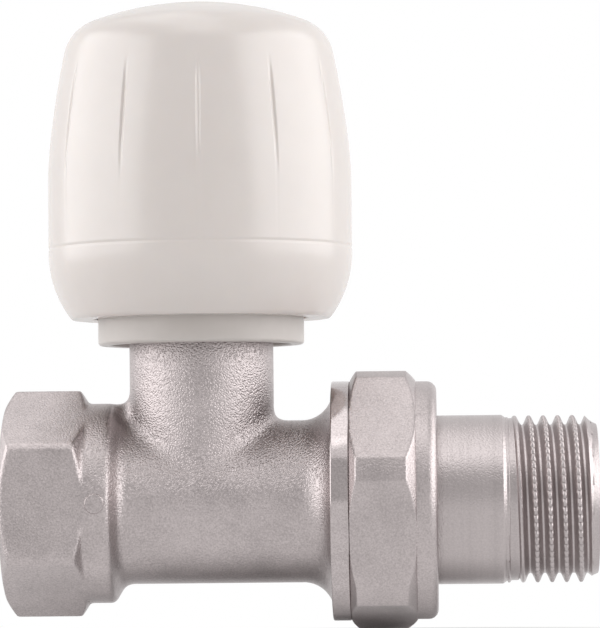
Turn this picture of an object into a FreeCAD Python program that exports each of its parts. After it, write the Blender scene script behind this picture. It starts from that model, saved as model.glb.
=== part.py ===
import FreeCAD, Part
import math
import os
import Sketcher

# Manual radiator valve, straight pattern, with a plastic handwheel and a union tail.
# Millimetres. X runs along the pipe from the inlet to the tail, Z runs up the stem.
# Every piece is drawn round the point where the stem crosses the pipe axis, and its
# Placement then carries it along X, so that the origin lies on the inlet socket's axis
# where the socket's thread begins.

# Driving sizes
SIZES = {
    # Where the stem stands along the pipe
    "stem_station": 23.8,
    # Clearances
    "running_gap": 0.05,
    "thread_gap": 0.07,
    "seating_gap": 0.02,
    # Inlet socket
    "socket_bore_radius": 9.315,
    "socket_depth": 12.0,
    "socket_lead_depth": 0.8,
    "socket_lead_radius": 10.5,
    # Inlet hexagon
    "hexagon_across_flats": 25.0,
    "hexagon_edge_round": 1.2,
    "hexagon_clocking": 90.0,
    "hexagon_length": 10.3,
    "hexagon_rim_radius": 12.3,
    "hexagon_turned_radius": 14.3,
    "hexagon_mouth_chamfer": 1.1,
    "hexagon_back_chamfer": 1.0,
    # Round band behind the hexagon
    "band_radius": 12.55,
    "band_width": 3.2,
    "band_round_radius": 0.8,
    "band_round_run": 0.6,
    "band_round_drop": 0.35,
    "band_slope_run": 0.6,
    "band_slope_drop": 0.8,
    "band_fillet_run": 1.6,
    "band_fillet_radius": 1.9,
    "band_button_radius": 1.05,
    "band_button_height": 0.15,
    # Barrel and neck
    "barrel_radius": 10.2,
    "flare_start": 13.0,
    "flare_run": 3.4,
    "flare_arc_radius": 3.9,
    "union_thread_radius": 13.22,
    "union_thread_end": 25.0,
    "union_thread_chamfer": 0.7,
    "neck_radius": 9.08,
    "neck_top": 21.5,
    "neck_fillet": 1.7,
    # Waterway
    "inlet_passage_radius": 5.2,
    "inlet_passage_drop": 3.0,
    "inlet_passage_end": 3.0,
    "seat_hole_radius": 4.2,
    "seat_rim_radius": 5.4,
    "seat_rim_height": 1.0,
    "seat_top": 4.6,
    "chamber_radius": 7.0,
    "outlet_passage_radius": 5.0,
    "outlet_passage_rise": 3.2,
    "outlet_passage_start": 5.5,
    "outlet_throat_radius": 6.5,
    "outlet_throat_start": 15.0,
    "nose_bore_radius": 10.7,
    "nose_bore_depth": 6.0,
    "nose_bore_cone": 1.5,
    # Bonnet
    "bonnet_thread_radius": 7.5,
    "bonnet_thread_length": 9.3,
    "bonnet_foot_radius": 6.7,
    "bonnet_flange_across_flats": 19.0,
    "bonnet_flange_height": 4.3,
    "bonnet_spigot_radius": 7.0,
    "bonnet_spigot_height": 3.0,
    "bonnet_cavity_radius": 4.9,
    "bonnet_cavity_depth": 4.6,
    "bonnet_gasket_chamfer": 1.1,
    "bonnet_gasket_section": 0.3,
    # Collar that dresses the neck
    "collar_radius": 13.0,
    "collar_wall": 1.6,
    "collar_web": 1.2,
    "collar_drop": 1.7,
    "collar_height": 7.5,
    "collar_edge_round": 0.4,
    # Gland
    "gland_chamber_radius": 5.1,
    "gland_chamber_depth": 2.5,
    "gland_thread_radius": 5.6,
    "gland_head_across_flats": 13.0,
    "gland_head_height": 3.0,
    "gland_ring_section": 0.88,
    "backing_ring_height": 0.7,
    # Valve disc
    "disc_lift": 3.0,
    "disc_closing_gap": 0.05,
    "washer_radius": 5.6,
    "washer_thickness": 2.0,
    "washer_proud": 0.4,
    "washer_hole_radius": 1.6,
    "holder_radius": 6.3,
    "holder_web": 1.55,
    "holder_hub_radius": 4.2,
    "holder_hub_height": 4.0,
    "holder_stop_gap": 0.15,
    "rivet_head_radius": 2.6,
    "rivet_head_height": 1.1,
    "rivet_shank_radius": 1.5,
    # Stem
    "stem_radius": 3.2,
    "stem_thread_radius": 3.95,
    "stem_thread_length": 5.0,
    "stem_pin_radius": 2.5,
    "stem_groove_radius": 2.0,
    "stem_groove_width": 1.3,
    "stem_groove_height": 24.2,
    "stem_ring_section": 0.58,
    "stem_square": 4.5,
    "stem_square_start": 38.0,
    "stem_tap_radius": 1.5,
    "stem_tap_depth": 10.0,
    # Clip that keeps the disc on the stem
    "clip_inner_radius": 1.75,
    "clip_outer_radius": 3.2,
    "clip_thickness": 0.7,
    "clip_height": 1.5,
    # Handwheel
    "wheel_bottom": 23.1,
    "wheel_height": 40.0,
    "wheel_radius": 19.17,
    "wheel_foot_radius": 16.3,
    "wheel_foot_round": 0.3,
    "wheel_foot_thickness": 1.5,
    "wheel_mouth_radius": 13.5,
    "wheel_line_height": 9.6,
    "wheel_line_depth": 0.12,
    "wheel_line_width": 0.4,
    "wheel_waist_arc": 49.2,
    "wheel_flank_lean": 83.5,
    "wheel_flank_arc": 120.0,
    "wheel_shoulder_lean": 78.0,
    "wheel_shoulder_arc": 5.16,
    "wheel_dome_lean": 20.5,
    "wheel_wall": 1.9,
    "wheel_hub_radius": 5.4,
    "wheel_square_gap": 0.1,
    "wheel_screw_web": 2.1,
    "wheel_recess_radius": 6.0,
    "wheel_recess_depth": 3.7,
    "wheel_recess_wall": 1.6,
    "wheel_recess_floor": 1.8,
    "wheel_groove_count": 12,
    "wheel_groove_width": 0.5,
    "wheel_groove_top": 31.9,
    "wheel_groove_bottom": 15.9,
    "wheel_groove_turn": 2.9,
    # Handwheel screw, its washer and its cap
    "screw_head_radius": 2.9,
    "screw_head_height": 1.7,
    "screw_shank_radius": 1.45,
    "screw_length": 9.0,
    "screw_hole_radius": 1.7,
    "screw_slot_width": 0.6,
    "screw_slot_depth": 0.8,
    "lock_washer_radius": 3.0,
    "lock_washer_thickness": 0.5,
    "lock_washer_slit": 0.4,
    "cap_gap": 0.1,
    "cap_wall": 1.3,
    "cap_crown": 1.2,
    # Union nut
    "nut_start": 16.36,
    "nut_length": 13.2,
    "nut_left_collar_radius": 15.05,
    "nut_left_collar_length": 2.3,
    "nut_across_flats": 30.0,
    "nut_corner_radius": 16.5,
    "nut_hexagon_length": 8.3,
    "nut_hexagon_left_chamfer": 0.85,
    "nut_hexagon_right_chamfer": 1.2,
    "nut_hexagon_clocking": 46.15,
    "nut_right_collar_radius": 15.0,
    "nut_right_collar_round": 1.2,
    "nut_lip_gap": 0.15,
    "nut_mouth_chamfer": 0.6,
    "nut_left_edge_chamfer": 0.2,
    # Tailpiece
    "tail_nose_radius": 10.6,
    "tail_nose_length": 4.0,
    "tail_nose_chamfer": 0.5,
    "tail_groove_radius": 9.1,
    "tail_groove_width": 1.8,
    "tail_groove_offset": 1.2,
    "tail_ring_section": 0.77,
    "tail_flange_radius": 12.6,
    "tail_flange_thickness": 1.5,
    "tail_face_gap": 0.1,
    "tail_tube_radius": 10.6,
    "tail_tube_end": 37.7,
    "tail_relief_radius": 10.3,
    "tail_relief_run": 0.4,
    "tail_thread_radius": 10.478,
    "tail_thread_start": 39.2,
    "tail_thread_length": 9.6,
    "tail_thread_chamfer": 0.75,
    "tail_pilot_radius": 9.7,
    "tail_end": 49.6,
    "tail_end_chamfer": 0.3,
    "tail_bore_radius": 7.6,
    "tail_lug_radius": 6.4,
    "tail_lug_width": 3.0,
    "tail_lug_start": 30.0,
    "tail_lug_length": 6.0,
}

# Stations: places and radii that follow from the driving sizes
STATIONS = {
    # Inlet hexagon and band, along the pipe
    "mouth_x": "-(Sizes.stem_station + Sizes.socket_lead_depth)",
    "socket_thread_x": "-Sizes.stem_station",
    "socket_end_x": "mouth_x + Sizes.socket_depth",
    "hexagon_corner_radius": "Sizes.hexagon_across_flats / (2 * cos(30 deg))",
    "hexagon_outside_radius": "hexagon_corner_radius + 1",
    "hexagon_back_x": "mouth_x + Sizes.hexagon_length",
    "hexagon_mouth_chamfer_x": "mouth_x + Sizes.hexagon_mouth_chamfer",
    "hexagon_back_chamfer_x": "hexagon_back_x - Sizes.hexagon_back_chamfer",
    "band_left_x": "hexagon_back_chamfer_x - 1",
    "band_right_x": "hexagon_back_x + Sizes.band_width",
    "band_round_x": "band_right_x + Sizes.band_round_run",
    "band_round_end_radius": "Sizes.band_radius - Sizes.band_round_drop",
    "band_slope_x": "band_round_x + Sizes.band_slope_run",
    "band_slope_end_radius": "band_round_end_radius - Sizes.band_slope_drop",
    "band_fillet_x": "band_slope_x + Sizes.band_fillet_run",
    "band_middle_x": "(hexagon_back_x + band_right_x) / 2",
    "band_button_reach": "Sizes.band_radius + Sizes.band_button_height",
    # Union end of the body
    "flare_end_x": "Sizes.flare_start + Sizes.flare_run",
    "flare_end_radius": "Sizes.union_thread_radius - 0.1",
    "union_chamfer_x": "Sizes.union_thread_end - Sizes.union_thread_chamfer",
    "union_chamfer_radius": "Sizes.union_thread_radius - Sizes.union_thread_chamfer",
    # Waterway
    "inlet_passage_start_x": "socket_end_x - 1",
    "inlet_passage_level": "-Sizes.inlet_passage_drop",
    "inlet_passage_length": "Sizes.inlet_passage_end - inlet_passage_start_x",
    "chamber_floor": "Sizes.seat_top - Sizes.seat_rim_height",
    "nose_bore_x": "Sizes.union_thread_end - Sizes.nose_bore_depth",
    "nose_cone_x": "nose_bore_x - Sizes.nose_bore_cone",
    "nose_mouth_radius": "Sizes.nose_bore_radius + Sizes.tail_nose_chamfer",
    "nose_mouth_x": "Sizes.union_thread_end - Sizes.tail_nose_chamfer",
    "outlet_passage_length": "Sizes.outlet_throat_start + 1 - Sizes.outlet_passage_start",
    # Valve disc, up the stem
    "washer_bottom": "Sizes.seat_top + Sizes.disc_lift + Sizes.disc_closing_gap",
    "washer_top": "washer_bottom + Sizes.washer_thickness",
    "holder_bottom": "washer_bottom + Sizes.washer_proud",
    "holder_recess_radius": "Sizes.washer_radius + Sizes.running_gap",
    "holder_web_top": "washer_top + Sizes.holder_web",
    "holder_hub_top": "holder_web_top + Sizes.holder_hub_height",
    "holder_bore_radius": "Sizes.stem_pin_radius + Sizes.running_gap",
    "holder_bore_floor": "holder_web_top + 0.2",
    "rivet_bottom": "washer_bottom - Sizes.rivet_head_height",
    "rivet_hole_radius": "Sizes.rivet_shank_radius + Sizes.seating_gap",
    "rivet_top": "holder_web_top",
    "rivet_crown_radius": "Sizes.rivet_head_radius * 0.7",
    "rivet_crown_top": "rivet_bottom + Sizes.rivet_head_height / 2",
    # Clip
    "clip_bottom": "holder_web_top + Sizes.clip_height",
    "clip_top": "clip_bottom + Sizes.clip_thickness",
    "clip_slot_bottom": "clip_bottom - Sizes.running_gap",
    "clip_slot_top": "clip_top + Sizes.running_gap",
    "clip_slot_height": "clip_slot_top - clip_slot_bottom",
    "clip_slot_radius": "Sizes.clip_outer_radius + Sizes.running_gap",
    "clip_slot_width": "2 * clip_slot_radius",
    "clip_slot_left": "-clip_slot_radius",
    "clip_opening_width": "2 * Sizes.clip_inner_radius",
    "clip_opening_left": "-Sizes.clip_inner_radius",
    "clip_neck_radius": "Sizes.clip_inner_radius - Sizes.running_gap",
    # Bonnet, up the stem
    "bonnet_foot": "holder_web_top + Sizes.holder_stop_gap",
    "bonnet_thread_start": "collar_web_top - Sizes.collar_web - Sizes.bonnet_thread_length",
    "bonnet_fit_radius": "Sizes.bonnet_thread_radius - Sizes.seating_gap",
    "bonnet_cavity_top": "bonnet_foot + Sizes.bonnet_cavity_depth",
    "bonnet_nut_radius": "Sizes.stem_thread_radius + Sizes.running_gap",
    "bonnet_nut_top": "stem_thread_top + Sizes.running_gap",
    "bonnet_slide_radius": "Sizes.stem_radius + Sizes.running_gap",
    "bonnet_flange_top": "collar_web_top + Sizes.bonnet_flange_height",
    "bonnet_flange_corner": "Sizes.bonnet_flange_across_flats / (2 * cos(30 deg))",
    "bonnet_top": "bonnet_flange_top + Sizes.bonnet_spigot_height",
    "gasket_middle_radius": "bonnet_fit_radius + Sizes.bonnet_gasket_section",
    "gasket_middle": "Sizes.neck_top - Sizes.bonnet_gasket_section",
    "gasket_chamfer_radius": "Sizes.bonnet_thread_radius + Sizes.bonnet_gasket_chamfer",
    "gasket_chamfer_foot": "Sizes.neck_top - Sizes.bonnet_gasket_chamfer",
    "neck_thread_foot": "bonnet_thread_start - 0.3",
    # Collar
    "collar_web_top": "Sizes.neck_top + Sizes.collar_web",
    "collar_bottom": "Sizes.neck_top - Sizes.collar_drop",
    "collar_top": "Sizes.neck_top + Sizes.collar_height",
    "collar_inner_radius": "Sizes.collar_radius - Sizes.collar_wall",
    "collar_hole_radius": "Sizes.bonnet_thread_radius + Sizes.seating_gap",
    "collar_edge_radius": "Sizes.collar_radius - Sizes.collar_edge_round",
    "collar_edge_height": "collar_bottom + Sizes.collar_edge_round",
    # Gland
    "gland_floor": "bonnet_top - Sizes.gland_chamber_depth - gland_thread_length",
    "gland_thread_length": "Sizes.bonnet_spigot_height - 0.5",
    "gland_thread_bottom": "bonnet_top - gland_thread_length",
    "gland_ring_middle": "gland_floor + Sizes.gland_ring_section",
    "gland_ring_middle_radius": "bonnet_slide_radius + Sizes.gland_ring_section",
    "backing_ring_bottom": "gland_floor + 2 * Sizes.gland_ring_section",
    "backing_ring_top": "backing_ring_bottom + Sizes.backing_ring_height",
    "backing_ring_radius": "Sizes.gland_chamber_radius - Sizes.seating_gap",
    "gland_fit_radius": "Sizes.gland_thread_radius - Sizes.seating_gap",
    "gland_foot_radius": "backing_ring_radius",
    "gland_head_top": "bonnet_top + Sizes.gland_head_height",
    "gland_head_corner": "Sizes.gland_head_across_flats / (2 * cos(30 deg))",
    # Stem
    "stem_bottom": "holder_bore_floor + Sizes.running_gap",
    "stem_shoulder": "holder_hub_top + Sizes.running_gap",
    "stem_thread_top": "stem_shoulder + Sizes.stem_thread_length",
    "stem_groove_bottom": "Sizes.stem_groove_height - Sizes.stem_groove_width / 2",
    "stem_groove_top": "Sizes.stem_groove_height + Sizes.stem_groove_width / 2",
    "stem_ring_middle_radius": "Sizes.stem_groove_radius + Sizes.stem_ring_section + Sizes.seating_gap",
    "stem_square_corner": "Sizes.stem_square / (2 * cos(45 deg))",
    "stem_top": "wheel_drive_top - Sizes.wheel_square_gap",
    "stem_square_length": "stem_top - Sizes.stem_square_start",
    "stem_tap_bottom": "stem_top - Sizes.stem_tap_depth",
    # Handwheel
    "wheel_top": "Sizes.wheel_bottom + Sizes.wheel_height",
    # The crown's arcs meet at common tangents, and each lean is measured from level
    "wheel_flank_sine": "sin(Sizes.wheel_flank_lean * 1 deg)",
    "wheel_flank_cosine": "cos(Sizes.wheel_flank_lean * 1 deg)",
    "wheel_shoulder_sine": "sin(Sizes.wheel_shoulder_lean * 1 deg)",
    "wheel_shoulder_cosine": "cos(Sizes.wheel_shoulder_lean * 1 deg)",
    "wheel_dome_sine": "sin(Sizes.wheel_dome_lean * 1 deg)",
    "wheel_dome_cosine": "cos(Sizes.wheel_dome_lean * 1 deg)",
    "wheel_bend_radius": "Sizes.wheel_radius - Sizes.wheel_waist_arc * (1 - wheel_flank_sine)",
    "wheel_flank_swell": "Sizes.wheel_flank_arc * (wheel_flank_sine - wheel_shoulder_sine)",
    "wheel_flank_fall": "Sizes.wheel_flank_arc * (wheel_shoulder_cosine - wheel_flank_cosine)",
    "wheel_shoulder_radius": "wheel_bend_radius - wheel_flank_swell",
    "wheel_shoulder_swell": "Sizes.wheel_shoulder_arc * (wheel_shoulder_sine - wheel_dome_sine)",
    "wheel_shoulder_fall": "Sizes.wheel_shoulder_arc * (wheel_dome_cosine - wheel_shoulder_cosine)",
    "wheel_dome_radius": "wheel_shoulder_radius - wheel_shoulder_swell",
    "wheel_dome_arc": "wheel_dome_radius / wheel_dome_sine",
    "wheel_dome_edge": "wheel_top - wheel_dome_arc * (1 - wheel_dome_cosine)",
    "wheel_shoulder": "wheel_dome_edge - wheel_shoulder_fall",
    "wheel_bend": "wheel_shoulder - wheel_flank_fall",
    "wheel_waist": "wheel_bend - Sizes.wheel_waist_arc * wheel_flank_cosine",
    "wheel_line": "Sizes.wheel_bottom + Sizes.wheel_line_height",
    "wheel_line_top": "wheel_line + Sizes.wheel_line_width",
    "wheel_line_middle": "wheel_line + Sizes.wheel_line_width / 2",
    "wheel_line_radius": "Sizes.wheel_radius - Sizes.wheel_line_depth",
    "wheel_foot_inset": "Sizes.wheel_radius - Sizes.wheel_foot_radius",
    "wheel_foot_rise": "Sizes.wheel_line_height - Sizes.wheel_foot_round",
    "wheel_foot_arc": "(wheel_foot_rise ^ 2 / wheel_foot_inset + wheel_foot_inset) / 2",
    "wheel_foot_edge": "Sizes.wheel_bottom + Sizes.wheel_foot_round",
    "wheel_foot_face_radius": "Sizes.wheel_foot_radius - Sizes.wheel_foot_round",
    "wheel_foot_top": "Sizes.wheel_bottom + Sizes.wheel_foot_thickness",
    "wheel_inner_foot_radius": "Sizes.wheel_foot_radius - Sizes.wheel_wall / 2",
    "wheel_inner_foot": "wheel_foot_top + Sizes.wheel_wall / 2",
    "wheel_inner_radius": "Sizes.wheel_radius - Sizes.wheel_wall",
    "wheel_inner_bend_radius": "wheel_bend_radius - Sizes.wheel_wall",
    "wheel_inner_shoulder_radius": "wheel_shoulder_radius - Sizes.wheel_wall",
    "wheel_inner_shoulder": "wheel_shoulder - Sizes.wheel_wall / 3",
    "wheel_inner_dome_radius": "wheel_dome_radius - Sizes.wheel_wall / 3",
    "wheel_inner_dome": "wheel_dome_edge - Sizes.wheel_wall",
    "wheel_recess_outer": "Sizes.wheel_recess_radius + Sizes.wheel_recess_wall",
    "wheel_dome_centre": "wheel_top - wheel_dome_arc",
    "wheel_recess_brow": "wheel_dome_centre + sqrt(wheel_dome_arc ^ 2 - wheel_recess_outer ^ 2)",
    "wheel_recess_roof": "wheel_recess_brow - Sizes.wheel_wall",
    "wheel_recess_edge": "wheel_dome_centre + sqrt(wheel_dome_arc ^ 2 - Sizes.wheel_recess_radius ^ 2)",
    "wheel_recess_bottom": "wheel_top - Sizes.wheel_recess_depth",
    "wheel_recess_under": "wheel_recess_bottom - Sizes.wheel_recess_floor",
    "wheel_hub_start": "Sizes.stem_square_start + Sizes.seating_gap",
    "wheel_drive_radius": "stem_drive_side / 2",
    "wheel_drive_corner": "stem_drive_side / (2 * cos(45 deg))",
    "stem_drive_side": "Sizes.stem_square + 2 * Sizes.wheel_square_gap",
    "wheel_drive_top": "wheel_recess_bottom - Sizes.wheel_screw_web",
    "wheel_drive_length": "wheel_drive_top - wheel_hub_start",
    "wheel_groove_high": "Sizes.wheel_bottom + Sizes.wheel_groove_top",
    "wheel_groove_low": "Sizes.wheel_bottom + Sizes.wheel_groove_bottom",
    "wheel_flank_slope": "wheel_flank_swell / wheel_flank_fall",
    "wheel_groove_fall": "wheel_shoulder - wheel_groove_high",
    "wheel_groove_high_radius": "wheel_shoulder_radius + wheel_groove_fall * wheel_flank_slope",
    "wheel_groove_low_radius": "Sizes.wheel_radius - 0.05",
    "wheel_groove_clear_radius": "Sizes.wheel_radius + 1",
    # Handwheel screw, washer and cap
    "lock_washer_top": "wheel_recess_bottom + Sizes.lock_washer_thickness",
    "screw_head_top": "lock_washer_top + Sizes.screw_head_height",
    "screw_head_edge": "screw_head_top - Sizes.screw_head_height / 3",
    "screw_head_crown_radius": "Sizes.screw_head_radius * 0.7",
    "screw_tip": "lock_washer_top - Sizes.screw_length",
    "screw_slot_bottom": "screw_head_top - Sizes.screw_slot_depth",
    "screw_slot_left": "-screw_slot_length / 2",
    "screw_slot_front": "-Sizes.screw_slot_width / 2",
    "screw_slot_length": "2 * Sizes.screw_head_radius + 1",
    "screw_slot_height": "Sizes.screw_slot_depth + 1",
    "cap_radius": "Sizes.wheel_recess_radius - Sizes.cap_gap",
    "cap_inner_radius": "cap_radius - Sizes.cap_wall",
    "cap_bottom": "wheel_recess_bottom + Sizes.seating_gap",
    "cap_edge": "wheel_dome_centre + sqrt(wheel_dome_arc ^ 2 - cap_radius ^ 2)",
    "cap_ceiling": "wheel_top - Sizes.cap_crown",
    # Union nut, along the pipe
    "nut_end": "Sizes.nut_start + Sizes.nut_length",
    "nut_hexagon_x": "Sizes.nut_start + Sizes.nut_left_collar_length",
    "nut_hexagon_middle_x": "nut_hexagon_x + Sizes.nut_hexagon_length / 2",
    "nut_hexagon_end_x": "nut_hexagon_x + Sizes.nut_hexagon_length",
    "nut_hexagon_corner": "Sizes.nut_across_flats / (2 * cos(30 deg))",
    "nut_flat_radius": "Sizes.nut_across_flats / 2",
    "nut_chamfer_left_x": "nut_hexagon_x + Sizes.nut_hexagon_left_chamfer",
    "nut_chamfer_right_x": "nut_hexagon_end_x - Sizes.nut_hexagon_right_chamfer",
    "nut_clear_radius": "nut_hexagon_corner + 1",
    "nut_round_x": "nut_end - Sizes.nut_right_collar_round",
    "nut_round_radius": "Sizes.nut_right_collar_radius - Sizes.nut_right_collar_round",
    "nut_thread_radius": "Sizes.union_thread_radius + Sizes.thread_gap",
    "nut_mouth_x": "Sizes.nut_start + Sizes.nut_mouth_chamfer",
    "nut_mouth_radius": "nut_thread_radius + Sizes.nut_mouth_chamfer",
    "nut_left_edge_x": "Sizes.nut_start + Sizes.nut_left_edge_chamfer",
    "nut_left_edge_radius": "Sizes.nut_left_collar_radius - Sizes.nut_left_edge_chamfer",
    "nut_lip_x": "tail_flange_end + Sizes.running_gap",
    "nut_lip_radius": "Sizes.tail_tube_radius + Sizes.nut_lip_gap",
    # Tailpiece, along the pipe
    "tail_flange_x": "Sizes.union_thread_end + Sizes.tail_face_gap",
    "tail_flange_end": "tail_flange_x + Sizes.tail_flange_thickness",
    "tail_nose_x": "tail_flange_x - Sizes.tail_nose_length",
    "tail_nose_chamfer_x": "tail_nose_x + Sizes.tail_nose_chamfer",
    "tail_nose_chamfer_radius": "Sizes.tail_nose_radius - Sizes.tail_nose_chamfer",
    "tail_groove_x": "tail_nose_x + Sizes.tail_groove_offset",
    "tail_groove_end_x": "tail_groove_x + Sizes.tail_groove_width",
    "tail_ring_x": "tail_groove_x + Sizes.tail_groove_width / 2",
    "tail_ring_middle_radius": "Sizes.tail_groove_radius + Sizes.tail_ring_section + Sizes.seating_gap",
    "tail_relief_x": "Sizes.tail_tube_end + Sizes.tail_relief_run",
    "tail_thread_lead_x": "Sizes.tail_thread_start + Sizes.tail_relief_run",
    "tail_thread_chamfer_x": "tail_thread_end_x - Sizes.tail_thread_chamfer",
    "tail_thread_end_x": "Sizes.tail_thread_start + Sizes.tail_thread_length",
    "tail_end_chamfer_x": "Sizes.tail_end - Sizes.tail_end_chamfer",
    "tail_end_rim_radius": "Sizes.tail_pilot_radius - Sizes.tail_end_chamfer",
    "tail_end_mouth_radius": "Sizes.tail_bore_radius + Sizes.tail_end_chamfer",
    "tail_lug_end": "Sizes.tail_lug_start + Sizes.tail_lug_length",
    "tail_lug_root": "(Sizes.tail_bore_radius + Sizes.tail_relief_radius) / 2",
}

document = FreeCAD.newDocument("RadiatorValve")
sizes = document.addObject("Spreadsheet::Sheet", "Sizes")
stations = document.addObject("Spreadsheet::Sheet", "Stations")


# Sheets and bindings

def fill_sheet(sheet, rows, mark):
    """Write one named value a row: the name in column A, the value in column B."""
    for number, (alias, content) in enumerate(rows.items(), start=1):
        sheet.set(f"A{number}", alias)
        sheet.setAlias(f"B{number}", alias)
    for number, (alias, content) in enumerate(rows.items(), start=1):
        sheet.set(f"B{number}", mark + str(content))


def sheet_of(alias):
    return stations if alias in STATIONS else sizes


def number_of(alias):
    """The present value of a named size or station."""
    return float(sheet_of(alias).get(alias))


def bind(target, place, alias):
    """Tie one property of an object to a named value."""
    target.setExpression(place, f"{sheet_of(alias).Name}.{alias}")


# Building blocks

def new_body(label, spin=None):
    """A piece that stands on the stem's station, turned about the stem where spin names an angle."""
    body = document.addObject("PartDesign::Body", label)
    body.Label = label
    bind(body, "Placement.Base.x", "stem_station")
    if spin is not None:
        bind(body, "Placement.Rotation.Angle", spin)
    return body


def origin_plane(body, role):
    for feature in body.Origin.OriginFeatures:
        if feature.Role == role:
            return feature
    raise ValueError(role)


def arc_between(start, end, radius, turn):
    """Arc of a given radius; turn is 1 for anticlockwise from start to end, -1 for clockwise."""
    chord = end - start
    middle = (start + end) * 0.5
    rise = math.sqrt(max(radius * radius - chord.Length * chord.Length / 4, 0))
    normal = FreeCAD.Vector(-chord.y, chord.x, 0).normalize()
    centre = middle + normal * rise * turn
    first, last = (start, end) if turn > 0 else (end, start)
    first_angle = math.atan2(first.y - centre.y, first.x - centre.x)
    last_angle = math.atan2(last.y - centre.y, last.x - centre.x)
    circle = Part.Circle(centre, FreeCAD.Vector(0, 0, 1), radius)
    return Part.ArcOfCircle(circle, first_angle, last_angle)


def coordinate(alias):
    return 0.0 if alias == "axis" else number_of(alias)


def draw_outline(body, name, corners, role="XZ_Plane"):
    """Closed outline through named corners.

    A corner is (across, up), or (across, up, arc radius, turn) where an arc leads to the next
    corner. The word axis stands for a place on the sketch's own axis.
    """
    sketch = body.newObject("Sketcher::SketchObject", name)
    sketch.AttachmentSupport = [(origin_plane(body, role), "")]
    sketch.MapMode = "FlatFace"
    points = [FreeCAD.Vector(coordinate(c[0]), coordinate(c[1]), 0) for c in corners]
    ends = []
    for index, corner in enumerate(corners):
        start = points[index]
        end = points[(index + 1) % len(points)]
        if len(corner) == 2:
            sketch.addGeometry(Part.LineSegment(start, end), False)
            ends.append((1, 2))
            continue
        radius_alias, turn = corner[2:]
        sketch.addGeometry(arc_between(start, end, number_of(radius_alias), turn), False)
        ends.append((1, 2) if turn > 0 else (2, 1))
    for index in range(len(corners)):
        following = (index + 1) % len(corners)
        joint = Sketcher.Constraint("Coincident", index, ends[index][1], following, ends[following][0])
        sketch.addConstraint(joint)
    for index, corner in enumerate(corners):
        fix_corner(sketch, index, ends[index][0], corner)
        if len(corner) > 2:
            constraint = Sketcher.Constraint("Radius", index, number_of(corner[2]))
            bind(sketch, f"Constraints[{sketch.addConstraint(constraint)}]", corner[2])
    return sketch


def fix_corner(sketch, index, end, corner):
    """Hold one corner at its two named coordinates."""
    for alias, kind, axis in ((corner[0], "DistanceX", -2), (corner[1], "DistanceY", -1)):
        if alias == "axis":
            sketch.addConstraint(Sketcher.Constraint("PointOnObject", index, end, axis))
            continue
        constraint = Sketcher.Constraint(kind, index, end, number_of(alias))
        bind(sketch, f"Constraints[{sketch.addConstraint(constraint)}]", alias)


def turn_outline(body, name, corners, axis, kind="PartDesign::Revolution"):
    """Turn an outline about the pipe axis (H_Axis) or the stem axis (V_Axis)."""
    sketch = draw_outline(body, name + "_outline", corners)
    feature = body.newObject(kind, name)
    feature.Profile = sketch
    feature.ReferenceAxis = (sketch, [axis])
    feature.Angle = 360
    document.recompute()
    return feature


def turn(body, name, corners, axis):
    return turn_outline(body, name, corners, axis)


def turn_away(body, name, corners, axis):
    return turn_outline(body, name, corners, axis, "PartDesign::Groove")


def seat_primitive(body, kind, name, role, offsets, bindings, spin=None):
    """Add or take away a primitive, set on an origin plane at named offsets."""
    feature = body.newObject(kind, name)
    feature.AttachmentSupport = [(origin_plane(body, role), "")]
    feature.MapMode = "FlatFace"
    for letter, alias in offsets.items():
        bind(feature, f"AttachmentOffset.Base.{letter}", alias)
    for place, alias in bindings.items():
        bind(feature, place, alias)
    if spin is not None:
        bind(feature, "AttachmentOffset.Rotation.Angle", spin)
    document.recompute()
    return feature


def round_edges(body, name, edges, size):
    """Fillet the edges that were found, with a named radius."""
    base = body.Tip
    feature = body.newObject("PartDesign::Fillet", name)
    feature.Base = (base, edges)
    bind(feature, "Radius", size)
    document.recompute()
    return feature


def edges_where(body, test):
    """Names of the edges of a body's present shape that pass a test."""
    shape = body.Tip.Shape
    return [f"Edge{n}" for n, edge in enumerate(shape.Edges, start=1) if test(edge)]


def hexagon_prism(body, name, role, start, corner, length, spin=None):
    """Six-sided block that stands on a plane, from a start along that plane's normal."""
    prism = seat_primitive(
        body, "PartDesign::AdditivePrism", name, role,
        {"z": start}, {"Circumradius": corner, "Height": length}, spin,
    )
    prism.Polygon = 6
    document.recompute()
    return prism


def seal_ring(label, middle_radius, middle, section, role):
    """Rubber ring of round section about the stem (XY_Plane) or the pipe (YZ_Plane)."""
    body = new_body(label)
    seat_primitive(
        body, "PartDesign::AdditiveTorus", label + "_round", role,
        {"z": middle}, {"Radius1": middle_radius, "Radius2": section},
    )
    return body


# Valve body: one brass forging, then bored and threaded

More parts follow.
